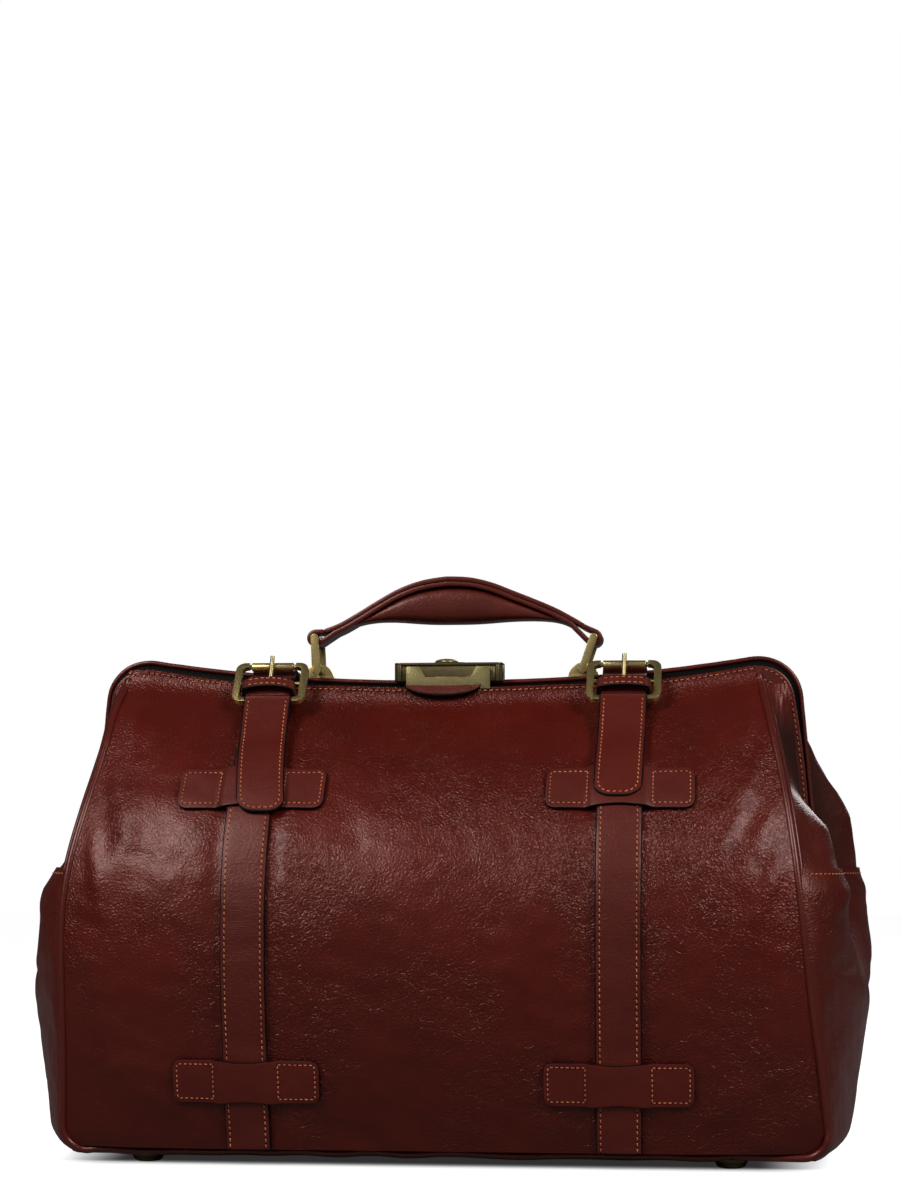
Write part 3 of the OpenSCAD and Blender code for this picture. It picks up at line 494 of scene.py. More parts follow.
def cloth(name, dark, light):
    s = Shade(name)
    at = s.place()
    weave = s.node("ShaderNodeTexWave", {"bands_direction": "DIAGONAL"}, {"Vector": at, "Scale": 700.0})
    tone = s.noise(at, 30, 3)
    return s.finish(Base_Color=s.colour(tone, dark, light), Roughness=0.85,
                    Normal=s.bump(Num(s, weave.outputs["Fac"]), 0.1))


MAT = {
    # The body leather has painted shade towards the bottom (low=True).
    "body": leather("body leather", rgb(52, 9, 4), rgb(84, 17, 8), 0.9, 1.0, 0.33, 0.08, low=True),
    # The side leather has painted shade in the gussets' fold (folds=True).
    "side": leather("side leather", rgb(50, 10, 5), rgb(84, 22, 12), 0.5, 0.8, 0.38, 0.06, folds=True),
    "strap": leather("strap leather", rgb(52, 11, 7), rgb(82, 22, 13), 0.3, 0.7, 0.42, 0.1, uv=True),
    "tip": leather("tip leather", rgb(60, 10, 5), rgb(80, 18, 9), 0.12, 0.5, 0.46, 0.03, uv=True),
    "tab": leather("tab leather", rgb(54, 10, 6), rgb(80, 19, 11), 0.2, 0.6, 0.48, 0.03),
    "welt": leather("welt leather", rgb(48, 10, 6), rgb(82, 21, 12), 0.2, 0.5, 0.35, 0.3),
    "handle": leather("handle leather", rgb(50, 12, 8), rgb(82, 24, 15), 0.35, 0.5, 0.4, 0.15),
    "edge": painted("edge paint", rgb(9, 6, 6), 0.55),
    # Needle holes: dark dots of painted shade.
    "hole": painted("needle-hole shade", rgb(14, 7, 6), 0.8),
    "thread": thread("thread"),
    "brass": metal("antique brass", (0.07, 0.05, 0.016), (0.64, 0.49, 0.20), 0.26, 0.85, 0.95),
    "bright": metal("rubbed brass", (0.12, 0.09, 0.034), (0.40, 0.32, 0.14), 0.27, 0.6, 0.85),
    "bronze": metal("dark bronze", (0.020, 0.013, 0.007), (0.13, 0.098, 0.042), 0.32, 0.8, 0.8),
    "stud": metal("stud metal", (0.012, 0.010, 0.007), (0.09, 0.07, 0.04), 0.36),
    "steel": metal("plain steel", (0.2, 0.2, 0.2), (0.5, 0.5, 0.5), 0.35),
    "black": painted("black lacquer", rgb(8, 5, 5), 0.5),
    "board": painted("board", rgb(70, 60, 50), 0.8),
    "lining": cloth("lining cloth", rgb(120, 104, 80), rgb(156, 138, 110)),
}


# ---- making pieces ----
def fresh(kind, **kw):
    """A new primitive, alone selected."""
    bpy.ops.object.select_all(action="DESELECT")
    getattr(bpy.ops.mesh, kind)(**kw)
    return bpy.context.object


def use(ob):
    bpy.ops.object.select_all(action="DESELECT")
    bpy.context.view_layer.objects.active = ob
    ob.select_set(True)


def applied(ob, kind, **settings):
    use(ob)
    m = ob.modifiers.new(kind.lower(), kind)
    for key, value in settings.items():
        setattr(m, key, value)
    bpy.ops.object.modifier_apply(modifier=m.name)


def edit(ob, *moves):
    """Edit-mode operators on the whole mesh, each with its settings."""
    use(ob)
    bpy.ops.object.mode_set(mode="EDIT")
    bpy.ops.mesh.select_all(action="SELECT")
    for move, kw in moves:
        getattr(bpy.ops.mesh, move)(**kw)
    bpy.ops.object.mode_set(mode="OBJECT")


def smooth(ob, angle=40):
    use(ob)
    bpy.ops.object.shade_smooth_by_angle(angle=math.radians(angle))


def dress(ob, mats):
    ob.data.materials.clear()
    for m in mats:
        ob.data.materials.append(MAT[m])


def sheet(name, f, nu, nv, thick, mats, close=False, bevel=0.0, even=False, angle=40, rim=None):
    """A sheet of leather: a grid laid over f(u, v), which gives its outer side, then made solid inward.
    rim gives the shares of its width and length that get the second material along its sides and far end."""
    ob = fresh("primitive_grid_add", x_subdivisions=nu, y_subdivisions=nv, size=2)
    ob.name = ob.data.name = name
    me = ob.data
    co = np.empty(len(me.vertices) * 3)
    me.vertices.foreach_get("co", co)
    uv = co.reshape(-1, 3)[:, :2] * 0.5 + 0.5
    me.vertices.foreach_set("co", (f(uv[:, 0], uv[:, 1]) * MM).ravel())
    t, h = np.linspace(0, 1, 60), np.full(60, 0.5)
    size = [steps(p).sum() / 100 for p in (f(t, h), f(h, t))]
    who = np.empty(len(me.loops), int)
    me.loops.foreach_get("vertex_index", who)
    me.uv_layers.active.data.foreach_set("uv", (uv[who] * size).ravel())
    me.update()
    dress(ob, mats)
    if rim:
        for poly in me.polygons:
            u, v = uv[list(poly.vertices)].mean(axis=0)
            poly.material_index = int(min(u, 1 - u) < rim[0] or 1 - v < rim[1])
    if close:
        edit(ob, ("remove_doubles", {"threshold": 1e-6}))
    if thick:
        applied(ob, "SOLIDIFY", thickness=thick * MM, offset=-1, use_even_offset=even,
                material_offset_rim=1 if len(mats) > 1 else 0)
    if bevel:
        applied(ob, "BEVEL", width=bevel * MM, segments=2, limit_method="ANGLE", angle_limit=math.radians(50),
                material=1 if "edge" in mats else -1)
    smooth(ob, angle)
    return ob


def cord(name, path, radius, mat, sides):
    """A round cord along a path of points."""
    bpy.ops.object.select_all(action="DESELECT")
    bpy.ops.curve.primitive_nurbs_path_add()
    ob = bpy.context.object
    ob.name = ob.data.name = name
    cu = ob.data
    cu.splines.clear()
    sp = cu.splines.new("POLY")
    sp.points.add(len(path) - 1)
    for p, q in zip(sp.points, path):
        p.co = (*(np.asarray(q) * MM), 1)
    cu.bevel_depth, cu.bevel_resolution, cu.use_fill_caps = radius * MM, sides, True
    cu.twist_mode = "MINIMUM"
    use(ob)
    bpy.ops.object.convert(target="MESH")
    ob = bpy.context.object
    edit(ob, ("remove_doubles", {"threshold": 1e-7}), ("normals_make_consistent", {"inside": False}))
    dress(ob, [mat])
    smooth(ob, 60)
    return ob


def turned(ob, name):
    """A copy of ob for the back, turned round."""
    use(ob)
    bpy.ops.object.duplicate()
    new = bpy.context.object
    new.name = new.data.name = name
    new.data.transform(Matrix.Rotation(math.pi, 4, "Z"))
    return new


def outward(ob):
    edit(ob, ("normals_make_consistent", {"inside": False}))


def look(ob, slot, nodes):
    if nodes:
        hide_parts(*nodes)


def bent(ob, frame_half, slot, *nodes):
    """Leather baked where it stands, in place of the CAD nodes named; frame_half, the half of the frame, is not used.
    """
    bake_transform(ob)
    look(ob, slot, nodes)


def firm(ob, body, slot, *nodes):
    """A piece that rides one body, in place of the CAD nodes named."""
    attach(ob, body)
    look(ob, slot, nodes)


# ---- stitching ----
# Rings of one stitch: place along half its length, thickness by its radius, lift.
STITCH = [(-1.0, 0.35, -0.42), (-0.72, 0.95, -0.02), (0.0, 1.08, 0.12), (0.72, 0.95, -0.02), (1.0, 0.35, -0.42)]
STITCH_SIDES, STITCH_R = 6, 0.36
# Dark dots at the stitch ends, painted shade standing in for the needle holes: their radius, rise over the leather
# and depth.
HOLE_R, HOLE_RISE, HOLE_DEPTH = 0.62, 0.14, 0.3


class Rows:
    """Rows of stitches that move together, made into one piece of thread and one of dark dots at the needle holes,
    painted shade for the holes.
    """

    def __init__(self):
        self.at = []

    def row(self, pts, normals, pitch=3.7, length=2.75, slant=7):
        """Row along a line of points; normals are the leather's outward directions there."""
        pts, normals = np.asarray(pts, float), np.asarray(normals, float)
        s = run(pts)
        n = max(1, int(round(s[-1] / pitch)))
        step = s[-1] / n
        take = lambda a, t: np.stack([np.interp(t, s, a[:, k]) for k in range(3)], -1)
        mid = (np.arange(n) + 0.5) * step
        c, nn = take(pts, mid), unit(take(normals, mid))
        d = unit(take(pts, np.minimum(mid + 0.6, s[-1])) - take(pts, np.maximum(mid - 0.6, 0)))
        side = unit(np.cross(nn, d))
        a = math.radians(slant)
        d2 = d * math.cos(a) + side * math.sin(a)
        ends_s = np.arange(n + 1) * step
        hp, hn = take(pts, ends_s), unit(take(normals, ends_s))
        self.at.append((c, d2, nn, length * step / pitch, hp, hn))

    def on(self, f, line, **kw):
        """Row along line, a list of (u, v) on the surface f."""
        line = np.array(line, float)
        seg = run(line)
        t = np.linspace(0, seg[-1], 140)
        u, v = (np.interp(t, seg, line[:, k]) for k in (0, 1))
        self.row(f(u, v), square_to(f, u, v, 0.003), **kw)

    def make(self, name):
        verts, faces, hv, hf = [], [], [], []
        sides, total = STITCH_SIDES, 0
        ang = np.arange(sides) * 2 * math.pi / sides
        for c, d, n, length, hp, hn in self.at:
            side = unit(np.cross(n, d))
            for i in range(len(c)):
                verts += [c[i] + d[i] * (t * length / 2) + n[i] * lift
                          + (side[i] * np.cos(ang)[:, None] + n[i] * np.sin(ang)[:, None]) * (STITCH_R * k)
                          for t, k, lift in STITCH]
                for j in range(len(STITCH) - 1):
                    for k in range(sides):
                        k2 = (k + 1) % sides
                        faces.append((total + j * sides + k2, total + j * sides + k,
                                      total + (j + 1) * sides + k, total + (j + 1) * sides + k2))
                faces.append(tuple(total + k for k in range(sides)))
                faces.append(tuple(total + (len(STITCH) - 1) * sides + k for k in range(sides - 1, -1, -1)))
                total += len(STITCH) * sides
            across = unit(np.cross(hn, np.roll(hn, 1, axis=1) + 0.01))
            for i in range(len(hp)):
                a, b = HOLE_R * across[i], HOLE_R * np.cross(hn[i], across[i])
                base = len(hv)
                hv += [hp[i] + a, hp[i] + b, hp[i] - a, hp[i] - b,
                       hp[i] + HOLE_RISE * hn[i], hp[i] - HOLE_DEPTH * hn[i]]
                for k in range(4):
                    k2 = (k + 1) % 4
                    hf += [(base + k, base + k2, base + 4), (base + k2, base + k, base + 5)]
        return [mesh_piece(name, np.vstack(verts), faces, "thread"),
                mesh_piece(name + "_holes", np.array(hv), hf, "hole")]


def mesh_piece(name, verts, faces, mat):
    me = bpy.data.meshes.new(name)
    me.from_pydata((np.asarray(verts) * MM).tolist(), [], faces)
    me.update()
    ob = bpy.data.objects.new(name, me)
    bpy.context.scene.collection.objects.link(ob)
    dress(ob, [mat])
    smooth(ob, 60)
    return ob


# The rows laid on the leather, each listed with a half of the frame, and those that ride a body.
BENT_ROWS = {"front": FRONT, "back": REAR, "left_front": FRONT, "right_front": FRONT, "left_rear": REAR,
             "right_rear": REAR}
FIRM_ROWS = {"front_rigid": FRONT, "left_tip": "left_tip", "right_tip": "right_tip"}
rows = {key: Rows() for key in (*BENT_ROWS, *FIRM_ROWS)}


# ---- leather shell ----
def open_edge(x):
    """How far below the frame's outer line the front leather ends."""
    return 5.0 + 1.9 * ease((np.abs(x) - 60) / 80) - 0.6 * ease((np.abs(x) - 150) / 45)


def front_f(u, v, back=False):
    """The front leather; near the frame its depth is evened out over the 15 mm round each point."""
    zs = np.minimum(mix(PANEL_Z, SEAM_TOP, v), SEAM_TOP)
    w = seam_w(zs) - 1.3 + (0 if back else np.where(u < 0.5, pulled(zs, -1), pulled(zs, 1)))
    x = (2 * u - 1) * w
    ze = edge_z(x)
    z = mix(PANEL_Z, ze + BINDING - (3.4 if back else open_edge(x)), v)
    p = off_face(x, z, relief(x, z))
    near = ease((z - ze + 22) / 14)
    q = sum(off_face(x, z + d, relief(x, z + d))[..., 1] for d in (-7.5, -5, -2.5, 0, 2.5, 5, 7.5)) / 7
    p[..., 1] = mix(p[..., 1], q, near)
    return p


front_leather = sheet("front_leather", front_f, 230, 150, 2.0, ["body", "welt"])
bent(front_leather, FRONT, "body_leather", "front_panel")


def back_f(u, v):
    return front_f(u, v, True) * [-1, -1, 1]


back_leather = sheet("back_leather", back_f, 150, 100, 2.0, ["body", "welt"])
bent(back_leather, REAR, "body_leather", "back_panel")

x = np.linspace(-195, 195, 200)
rows["front"].row(points(x, -11.25, top_z(x) - open_edge(x) - 2.2), points(x * 0, -1.0, 0.0))
rows["back"].row(points(-x, 11.05, top_z(x) - 5.6), points(x * 0, 1.0, 0.0))

SIDES = (("right", 1), ("left", -1))
HALVES = ((False, "front", FRONT), (True, "rear", REAR))
# Folds of the gusset, laid out flat from its seam: from, to, width and height.
SIDE_W = 90
SIDE_FOLDS = [((20, 150), (78, 184), 5, 1.3), ((10, 110), (70, 128), 7, 0.8), ((30, 210), (62, 262), 5, -1.0),
              ((14, 60), (60, 40), 7, 0.7)]


def side_relief(s, z, rear):
    out = 0.35 * bumps(s * SIDE_W, z, 31 + rear, 42) + 0.15 * bumps(s * SIDE_W, z, 37, 16)
    for a, b, w, h in SIDE_FOLDS:
        out = out + ridge(s * SIDE_W, z, a, b, w, h)
    return out * ease((s - 0.03) / 0.12) * ease((0.99 - s) / 0.1) * ease((z - 12) / 12)


def gusset_part(sx, rear, z0, z1, d):
    """Surface of a quarter of the gussets between two heights, d outside the sewn layer."""
    sy = -1 if rear else 1

    def f(u, v):
        s = 0.015 + 0.985 * (1 - u if sx * sy < 0 else u)
        z = mix(z0, z1, v)
        return gusset_off(s, z, rear, side_relief(s, z, rear) + d, sx) * [sx, sy, 1]
    return f


for side, sx in SIDES:
    for rear, half, body in HALVES:
        ob = sheet(f"gusset_{side}_{half}", gusset_part(sx, rear, PANEL_Z - 1.0, SEAM_TOP - 0.5, 0.0), 46, 120, 1.8,
                   ["side", "welt"])
        bent(ob, body, "body_leather", f"gusset_{side}")
        f = gusset_part(sx, rear, PANEL_Z - 0.8, PATCH_Z, 1.9)
        ob = sheet(f"pocket_{side}_{half}", f, 46, 80, 1.4, ["side", "edge"])
        bent(ob, body, "body_leather", f"gusset_patch_{side}")
        rows[f"{side}_{half}"].on(f, [(0.06, 0.98), (0.94, 0.98)])


def welt_path(front):
    """Middle of the welt: down one side seam, along the bottom and up the other."""
    round_z = LOW_Z + TURN_IN
    z = np.linspace(SEAM_TOP + 6, round_z, 60)
    a = np.radians(np.linspace(0, 90, 9))[1:]
    zc = round_z - TURN_IN * np.sin(a)
    halves = []
    for side in (1, -1):
        k = side if front else 0
        end = seam(round_z, k)[0] - TURN_IN
        xs = np.linspace(end, 0, 40)[1:]
        low = points(xs, seam(LOW_Z)[1], LOW_Z + 0.55 * bumps(side * xs, 0 * xs, 77, 46))
        turn = points(end + TURN_IN * np.cos(a), seam(zc)[:, 1], zc)
        halves.append(np.vstack([seam(z, k), turn, low]) * [side, 1, 1])
    return np.vstack([halves[0], halves[1][-2::-1]])


welt_front = cord("welt_front", welt_path(True), WELT_R, "welt", 4)
bent(welt_front, FRONT, "body_leather", "piping_front")
welt_back = cord("welt_back", welt_path(False) * [-1, -1, 1], WELT_R, "welt", 4)
bent(welt_back, REAR, "body_leather", "piping_back")
z = np.linspace(SEAM_TOP + 2, 26, 70)
for rear, half, body in HALVES:
    for side, sx in SIDES:
        line = (seam(z, 0 if rear else sx) + points(2.6, 2.6, 0)) * [sx, -1 if rear else 1, 1]
        ob = cord(f"seam_ridge_{side}_{half}", line, 1.7, "welt", 3)
        bent(ob, body, "body_leather")


def ring_rect(t, w, h, r):
    """Point at share t round a rounded rectangle."""
    k = 24
    a = np.linspace(0, math.pi / 2, k)
    q = [np.stack([sx * (w / 2 - r) + r * np.cos(a + o), sy * (h / 2 - r) + r * np.sin(a + o)], 1)
         for sx, sy, o in ((1, 1, 0), (-1, 1, math.pi / 2), (-1, -1, math.pi), (1, -1, 1.5 * math.pi))]
    q = np.vstack(q + [q[0][:1]])
    s = run(q)
    return [np.interp(np.asarray(t) * s[-1], s, q[:, i]) for i in (0, 1)]


def base_line():
    """Outline of the bottom, just inside the gussets' and the panels' lower edges."""
    s = np.linspace(0.02, 1, 30)
    z = np.full(30, PANEL_Z + 0.5)
    rear = gusset(s, z, True)[::-1] * [1, -1, 1]
    right, left = [np.vstack([gusset(s, z, False, k), rear[1:]])[:, :2] * [k, 1] for k in (1, -1)]
    return np.vstack([right, left[::-1], right[:1]]) * 0.985


BASE = base_line()


def bottom_f(u, v):
    """The bottom leather, flat with a raised edge."""
    s = run(BASE)
    x, y = (np.interp((1 - u) * s[-1], s, BASE[:, k]) for k in (0, 1))
    return points(x * v, y * v, LOW_Z - 1 + 1.2 * np.clip((v - 0.96) / 0.04, 0, 1))


bottom = sheet("bottom_leather", bottom_f, 120, 8, 2.2, ["side"], close=True)
firm(bottom, BAG, "body_leather", "bottom_panel")


def tub_f(u, v):
    """The stiff lining: floor and walls, which are lower at the front and the back."""
    x, y = ring_rect(u, 2 * (seam_w(200.0) - 12) - 2.8, 184.0 - 2.8, 30)
    k = np.clip(v / 0.3, 0, 1)
    high = mix(148, 186, ease((68 - np.abs(y)) / 26))
    return points(x * k, y * k, np.where(v < 0.3, 15.5, mix(15.5, high, (v - 0.3) / 0.7)))


tub = sheet("lining_base", tub_f, 120, 40, 1.2, ["lining"], close=True, angle=60)
firm(tub, BAG, "lining", "lining_tub")


def lining_f(u, v):
    z0 = 70.0
    w = seam_w(mix(z0, SEAM_TOP, v)) - 9
    x = (1 - 2 * u) * w
    z = mix(z0, edge_z(x) - 2, v)
    return off_face(x, z, -3.0 + 0.5 * bumps(x, z, 51, 40) * np.sin(math.pi * v))


lining_front = sheet("lining_cloth_front", lining_f, 50, 30, -1.0, ["lining"])
bent(lining_front, FRONT, "lining", "lining_front")
lining_back = turned(lining_front, "lining_cloth_back")
bent(lining_back, REAR, "lining", "lining_back")


# ---- sewn straps and tabs ----
STRAP_TOP = float(edge_z(STRAP_X)) - 16
TAB_R = 6.0


def strap_f(u, v, x0):
    x = x0 + (u - 0.5) * STRAP_W
    z = mix(LOW_Z + 3, STRAP_TOP, v)
    crown = 0.35 * (1 - (2 * u - 1) ** 4) + 0.12 * bumps(x * 0.3, z, 61, 22)
    return off_face(x, z, 2.8 + crown + relief(x0 + (x - x0) * 0.3, z) * 0.6)


def tab_f(z0, h, length, x0):
    """A tab over the strap: raised and a little waisted where it crosses it."""
    def f(u, v):
        r = TAB_R
        vz = np.abs(2 * v - 1) * h / 2
        corner = r - np.sqrt(np.clip(r * r - np.clip(vz - (h / 2 - r), 0, r) ** 2, 0, None))
        x = x0 + (2 * u - 1) * (length / 2 - corner)
        near = ease((STRAP_W / 2 + 8 - np.abs(x - x0)) / 6)
        waist = 1 - 0.10 * ease(1 - np.abs(x - x0) / (STRAP_W / 2 + 6))
        z = z0 + h / 2 + (v - 0.5) * h * waist
        return off_face(x, z, 2.4 + 2.8 * near + 0.7 * relief(x, z) + 0.2 * (1 - (2 * v - 1) ** 4))
    return f


def square(rows_of, f, u0, u1, h, inset, m):
    """Stitched square on a tab between shares u0 and u1 of its length."""
    v0 = inset / h
    line = np.array([(u0, v0), (u1, v0), (u1, 1 - v0), (u0, 1 - v0), (u0, v0)])
    for a, b in zip(line[:-1], line[1:]):
        t = np.linspace(0, 1, 30)
        u, v = mix(a[0], b[0], t), mix(a[1], b[1], t)
        rows_of.row(f(u, v) * m, square_to(f, u, v, 0.004) * m, pitch=3.3, length=2.4, slant=0)


TABS = (("upper", 217.0, 25.0, 91.0), ("lower", 39.0, 27.0, 91.0))  # lower edge, height, length
SEWN_IN, SQUARE_END = 3.0, 25.5  # stitches from an edge, far side of a tab's stitched square from its end
for face_name, half, m in (("front", FRONT, np.array([1, 1, 1])), ("back", REAR, np.array([-1, -1, 1]))):
    for k, x0 in enumerate((-STRAP_X, STRAP_X)):
        word = ("left", "right")[k] if face_name == "front" else ("right", "left")[k]
        f = lambda u, v: strap_f(u, v, x0) * m
        ob = sheet(f"sewn_strap_{face_name}_{word}", f, 8, 120, 2.3, ["strap", "edge"], bevel=0.8, even=True)
        bent(ob, half, "strap_leather", f"{face_name}_straps")
        for u in (SEWN_IN / STRAP_W, 1 - SEWN_IN / STRAP_W):
            rows[face_name].on(f, [(u, 0.004), (u, 0.985)])
        for level, z0, h, length in TABS:
            t = tab_f(z0, h, length, x0)
            ob = sheet(f"tab_{level}_{face_name}_{word}", lambda u, v: t(u, v) * m, 60, 20, 2.0, ["tab", "edge"],
                       bevel=0.75, even=True)
            bent(ob, half, "strap_leather", f"{face_name}_{level}_tabs")
            a, b = SEWN_IN / length, SQUARE_END / length
            for u0, u1 in ((a, b), (1 - b, 1 - a)):
                square(rows[face_name], t, u0, u1, h, SEWN_IN, m)

# ---- frame bindings ----
LEG_S = float(np.interp(-199, LINE[:60, 0], LINE_S[:60]))  # the frame line's length up to its corner
LEGS = (("left", np.array([1, 1, 1]), 0.0), ("right", np.array([-1, 1, 1]), 5.0))  # side, mirror, longer by


def leg_inset(v):
    """How far inside the frame's outer line the binding of its legs starts."""
    return mix(3.4, 6.8, ease(v * 1.4 - 0.3))


def leg_binding(u, v, longer):
    s = v * (LEG_S + longer)
    return on_frame(s, mix(leg_inset(v), BINDING + 0.6, u), -10.9 - 0.25 * (1 - (2 * u - 1) ** 4))


for side, m, longer in LEGS:
    f = lambda u, v: leg_binding(u if m[0] > 0 else 1 - u, v, longer) * m
    ob = sheet(f"leg_binding_{side}", f, 8, 70, 2.2, ["welt", "welt"], bevel=0.4)
    firm(ob, FRONT, "body_leather", "front_binding")
    for inset in (2.2, 8.6):
        s = np.linspace(4, LEG_S - 3, 120)
        rows["front_rigid"].row(on_frame(s, leg_inset(s / LEG_S) + inset, -11.15) * m, points(0 * s, -1.0, 0.0))


def bead_f(u, v):
    """The rolled edge over the rear half of the frame, and its inner and outer sides down the legs."""
    a = 2 * math.pi * u
    c, s = np.cos(a), np.sin(a)
    open_ = (v > 1e-6) & (v < 1 - 1e-6)
    y = 5.0 + 4.8 * np.sign(c) * np.abs(c) ** 0.55 * open_
    inset = 1.2 - 1.7 * np.sign(s) * np.abs(s) ** 0.7 * open_
    at = v * LINE_S[-1]
    return on_frame(at, inset + 0.05 * bumps(at, 0 * v, 13, 17), y)


bead = sheet("frame_bead", bead_f, 20, 260, 0, ["welt"], close=True, angle=60)
outward(bead)
firm(bead, REAR, "body_leather", "rear_binding")


def rear_leg(u, v):
    return on_frame(v * (LEG_S + 8), mix(2.8, 11.5, u), 11.2 + 0 * u)


for side, m, _ in LEGS:
    f = lambda u, v: rear_leg(1 - u if m[0] > 0 else u, v) * m
    ob = sheet(f"rear_leg_binding_{side}", f, 6, 60, 2.0, ["welt", "welt"], bevel=0.4)
    firm(ob, REAR, "body_leather")

# ---- buckled straps ----
LEAN = math.radians(50)
BUCKLE_Y, BUCKLE_Z = -14.5, float(top_z(STRAP_X)) + 4.2


def lay(u, n):
    """Depth and height at length u along the leaning buckle and n outside its plane."""
    return np.array([BUCKLE_Y + u * math.cos(LEAN) - n * math.sin(LEAN),
                     BUCKLE_Z + u * math.sin(LEAN) + n * math.cos(LEAN)])


def round_off(x, half, r):
    """How much shorter a strap with a rounded end is at distance x from its middle."""
    return r - np.sqrt(np.maximum(r * r - np.maximum(x - (half - r), 0) ** 2, 0))


def strip(name, line, x0, width, thick, mats, body, node, nu=8, nv=60, end_r=0.0, shift=None, crown=0.0):
    """A strap whose middle follows a flat line of (y, z) points, its outer side on the right hand of the line."""
    length = steps(line).sum()

    def f(u, v):
        u = 1 - u
        if end_r:
            v = v * (1 - round_off(np.abs(2 * u - 1) * width / 2, width / 2, end_r) / length)
        p, n = along(line, v)
        q = p + n * (-thick / 2 + crown * (1 - (2 * u - 1) ** 4))[..., None]
        return points(x0 + (2 * u - 1) * (width / 2) + (shift(v) if shift else 0), q[..., 0], q[..., 1])

    # On the tips the edge paint runs over one row of faces along the sides and far end: partly the paint wrapping
    # over the edge, partly painted shade of the gap beside the tip.
    rim, bevel = ((1 / nu, 1 / nv), 1.1) if "tip" in mats else (None, 0.8)
    ob = sheet(name, f, nu, nv, thick, mats, bevel=bevel, even=True, rim=rim)
    firm(ob, body, "strap_leather", node)
    return f


def over_face(z, d):
    """Depth and height of the point d outside the front leather behind a strap."""
    a, b = face(STRAP_X, z), face(STRAP_X, z + 1)
    t = unit(b[1:] - a[1:])
    return a[1:] + np.array([-t[1], t[0]]) * d


HEAD_Z = float(top_z(STRAP_X + 14)) + 2.0  # top of the buckled straps, where they cross to the rear half
HEAD = catmull([lay(*p) for p in [(-27.9, 4.4), (-20, 5.5), (-15, 5.8), (-12, 4.7), (-8, 1.0), (-3, -3.6), (0, -4.6),
                                  (4, -4.9)]], 5)
HEAD = np.vstack([HEAD, [-0.3, HEAD_Z]])
CHAPE = catmull([lay(*p) for p in [(-13.5, -3.3), (-24, -3.2), (-34, -3.4), (-39, -4.2)]], 4)
LAYER_GAP, STRAP_T, TAB_T, HEAD_W, TIP_W = 0.4, 2.4, 2.0, 28, 30
TIP_OFF = LAYER_GAP * 3 + STRAP_T + TAB_T + STRAP_T / 2 + 0.4  # over the sewn strap and the upper tab
KEEPER_W, KEEPER_H, KEEPER_MID, KEEPER_CROWN = 34, 15, 1.1, 1.2

# side, middle, lower end, sideways sway of the tip, arch of the keeper
for side, x0, z_end, sway, arch in (("left", -STRAP_X, 213.0, 8.0, 2.0), ("right", STRAP_X, 222.0, -1.5, 0.9)):
    low = [over_face(z, TIP_OFF) for z in (262, 250, 238, 226, z_end)]
    tip_line = catmull([lay(-28.4, 4.3), lay(-33, 3.9)] + low)
    f = strip(f"strap_tip_{side}", tip_line, x0, TIP_W, STRAP_T, ["tip", "edge"], f"{side}_tip", f"{side}_tip",
              nu=32, nv=84, end_r=11, crown=0.35, shift=lambda v: sway * v ** 1.6)
    length = steps(tip_line).sum()
    xs = 12 * np.sin(np.linspace(-1, 1, 41) * math.pi / 2)
    end = (length - 3 - round_off(np.abs(xs), 12, 8.5)) / (length - round_off(np.abs(xs), TIP_W / 2, 11))
    rows[f"{side}_tip"].on(f, [(0.1, 0.03)] + [(0.5 + k / TIP_W, e) for k, e in zip(xs, end)] + [(0.9, 0.03)],
                           pitch=3.6)
    strip(f"buckled_strap_{side}", HEAD[::-1], x0, HEAD_W, 2.2, ["strap", "edge"], FRONT, "strap_heads", nv=90)
    strip(f"chape_{side}", CHAPE, x0, HEAD_W, 2.2, ["strap", "edge"], FRONT, "chapes", nv=30)

    def keeper_f(u, v):
        px, pn = ring_rect(1 - u, KEEPER_W, KEEPER_H, 3)
        k = (1 - (px / (KEEPER_W / 2)) ** 2) * (pn > 0)
        y, z = lay(mix(-27.4, -19.0, v) + arch * k, KEEPER_MID + pn + KEEPER_CROWN * k)
        return points(x0 + px, y, z)

    ob = sheet(f"keeper_{side}", keeper_f, 72, 8, 2.0, ["strap", "edge"], close=True, bevel=0.8)
    outward(ob)
    firm(ob, FRONT, "strap_leather", "keepers")
    for at in (-25.2, -20.8):
        xs = np.linspace(x0 - 13, x0 + 13, 30)
        k = 1 - ((xs - x0) / (KEEPER_W / 2)) ** 2
        y, z = lay(at + arch * k, KEEPER_MID + KEEPER_H / 2 + KEEPER_CROWN * k)
        rows["front_rigid"].row(points(xs, y, z), points(0 * xs, -math.sin(LEAN), math.cos(LEAN)), slant=0)
    rear = catmull([(0.3, HEAD_Z), (8.8, HEAD_Z), (12.8, HEAD_Z - 4), (14.2, HEAD_Z - 13)]
                   + [over_face(z, LAYER_GAP + STRAP_T / 2 + 1) * [-1, 1] for z in (285, 281)], 5)
    strip(f"rear_strap_end_{side}", rear[::-1], x0, HEAD_W, STRAP_T, ["strap", "edge"], REAR, "strap_bridges", nv=40)


# ---- handle ----
RING_X, RING_H, HANDLE_Y, LOOP_R = 86, 21.7, 5, 4.1
RING_Z = float(top_z(RING_X)) + 3.8


def ring_end(side, lean):
    """Middle of a leaning ring's bar, which the handle's loop goes round."""
    a = math.radians(lean)
    return np.array([side * (RING_X + RING_H * math.sin(a)), RING_Z + RING_H * math.cos(a)])


left_end, right_end = ring_end(-1, 2.5), ring_end(1, 19)
mid_x, arch_w = (left_end[0] + right_end[0]) / 2, (right_end[0] - left_end[0]) / 2
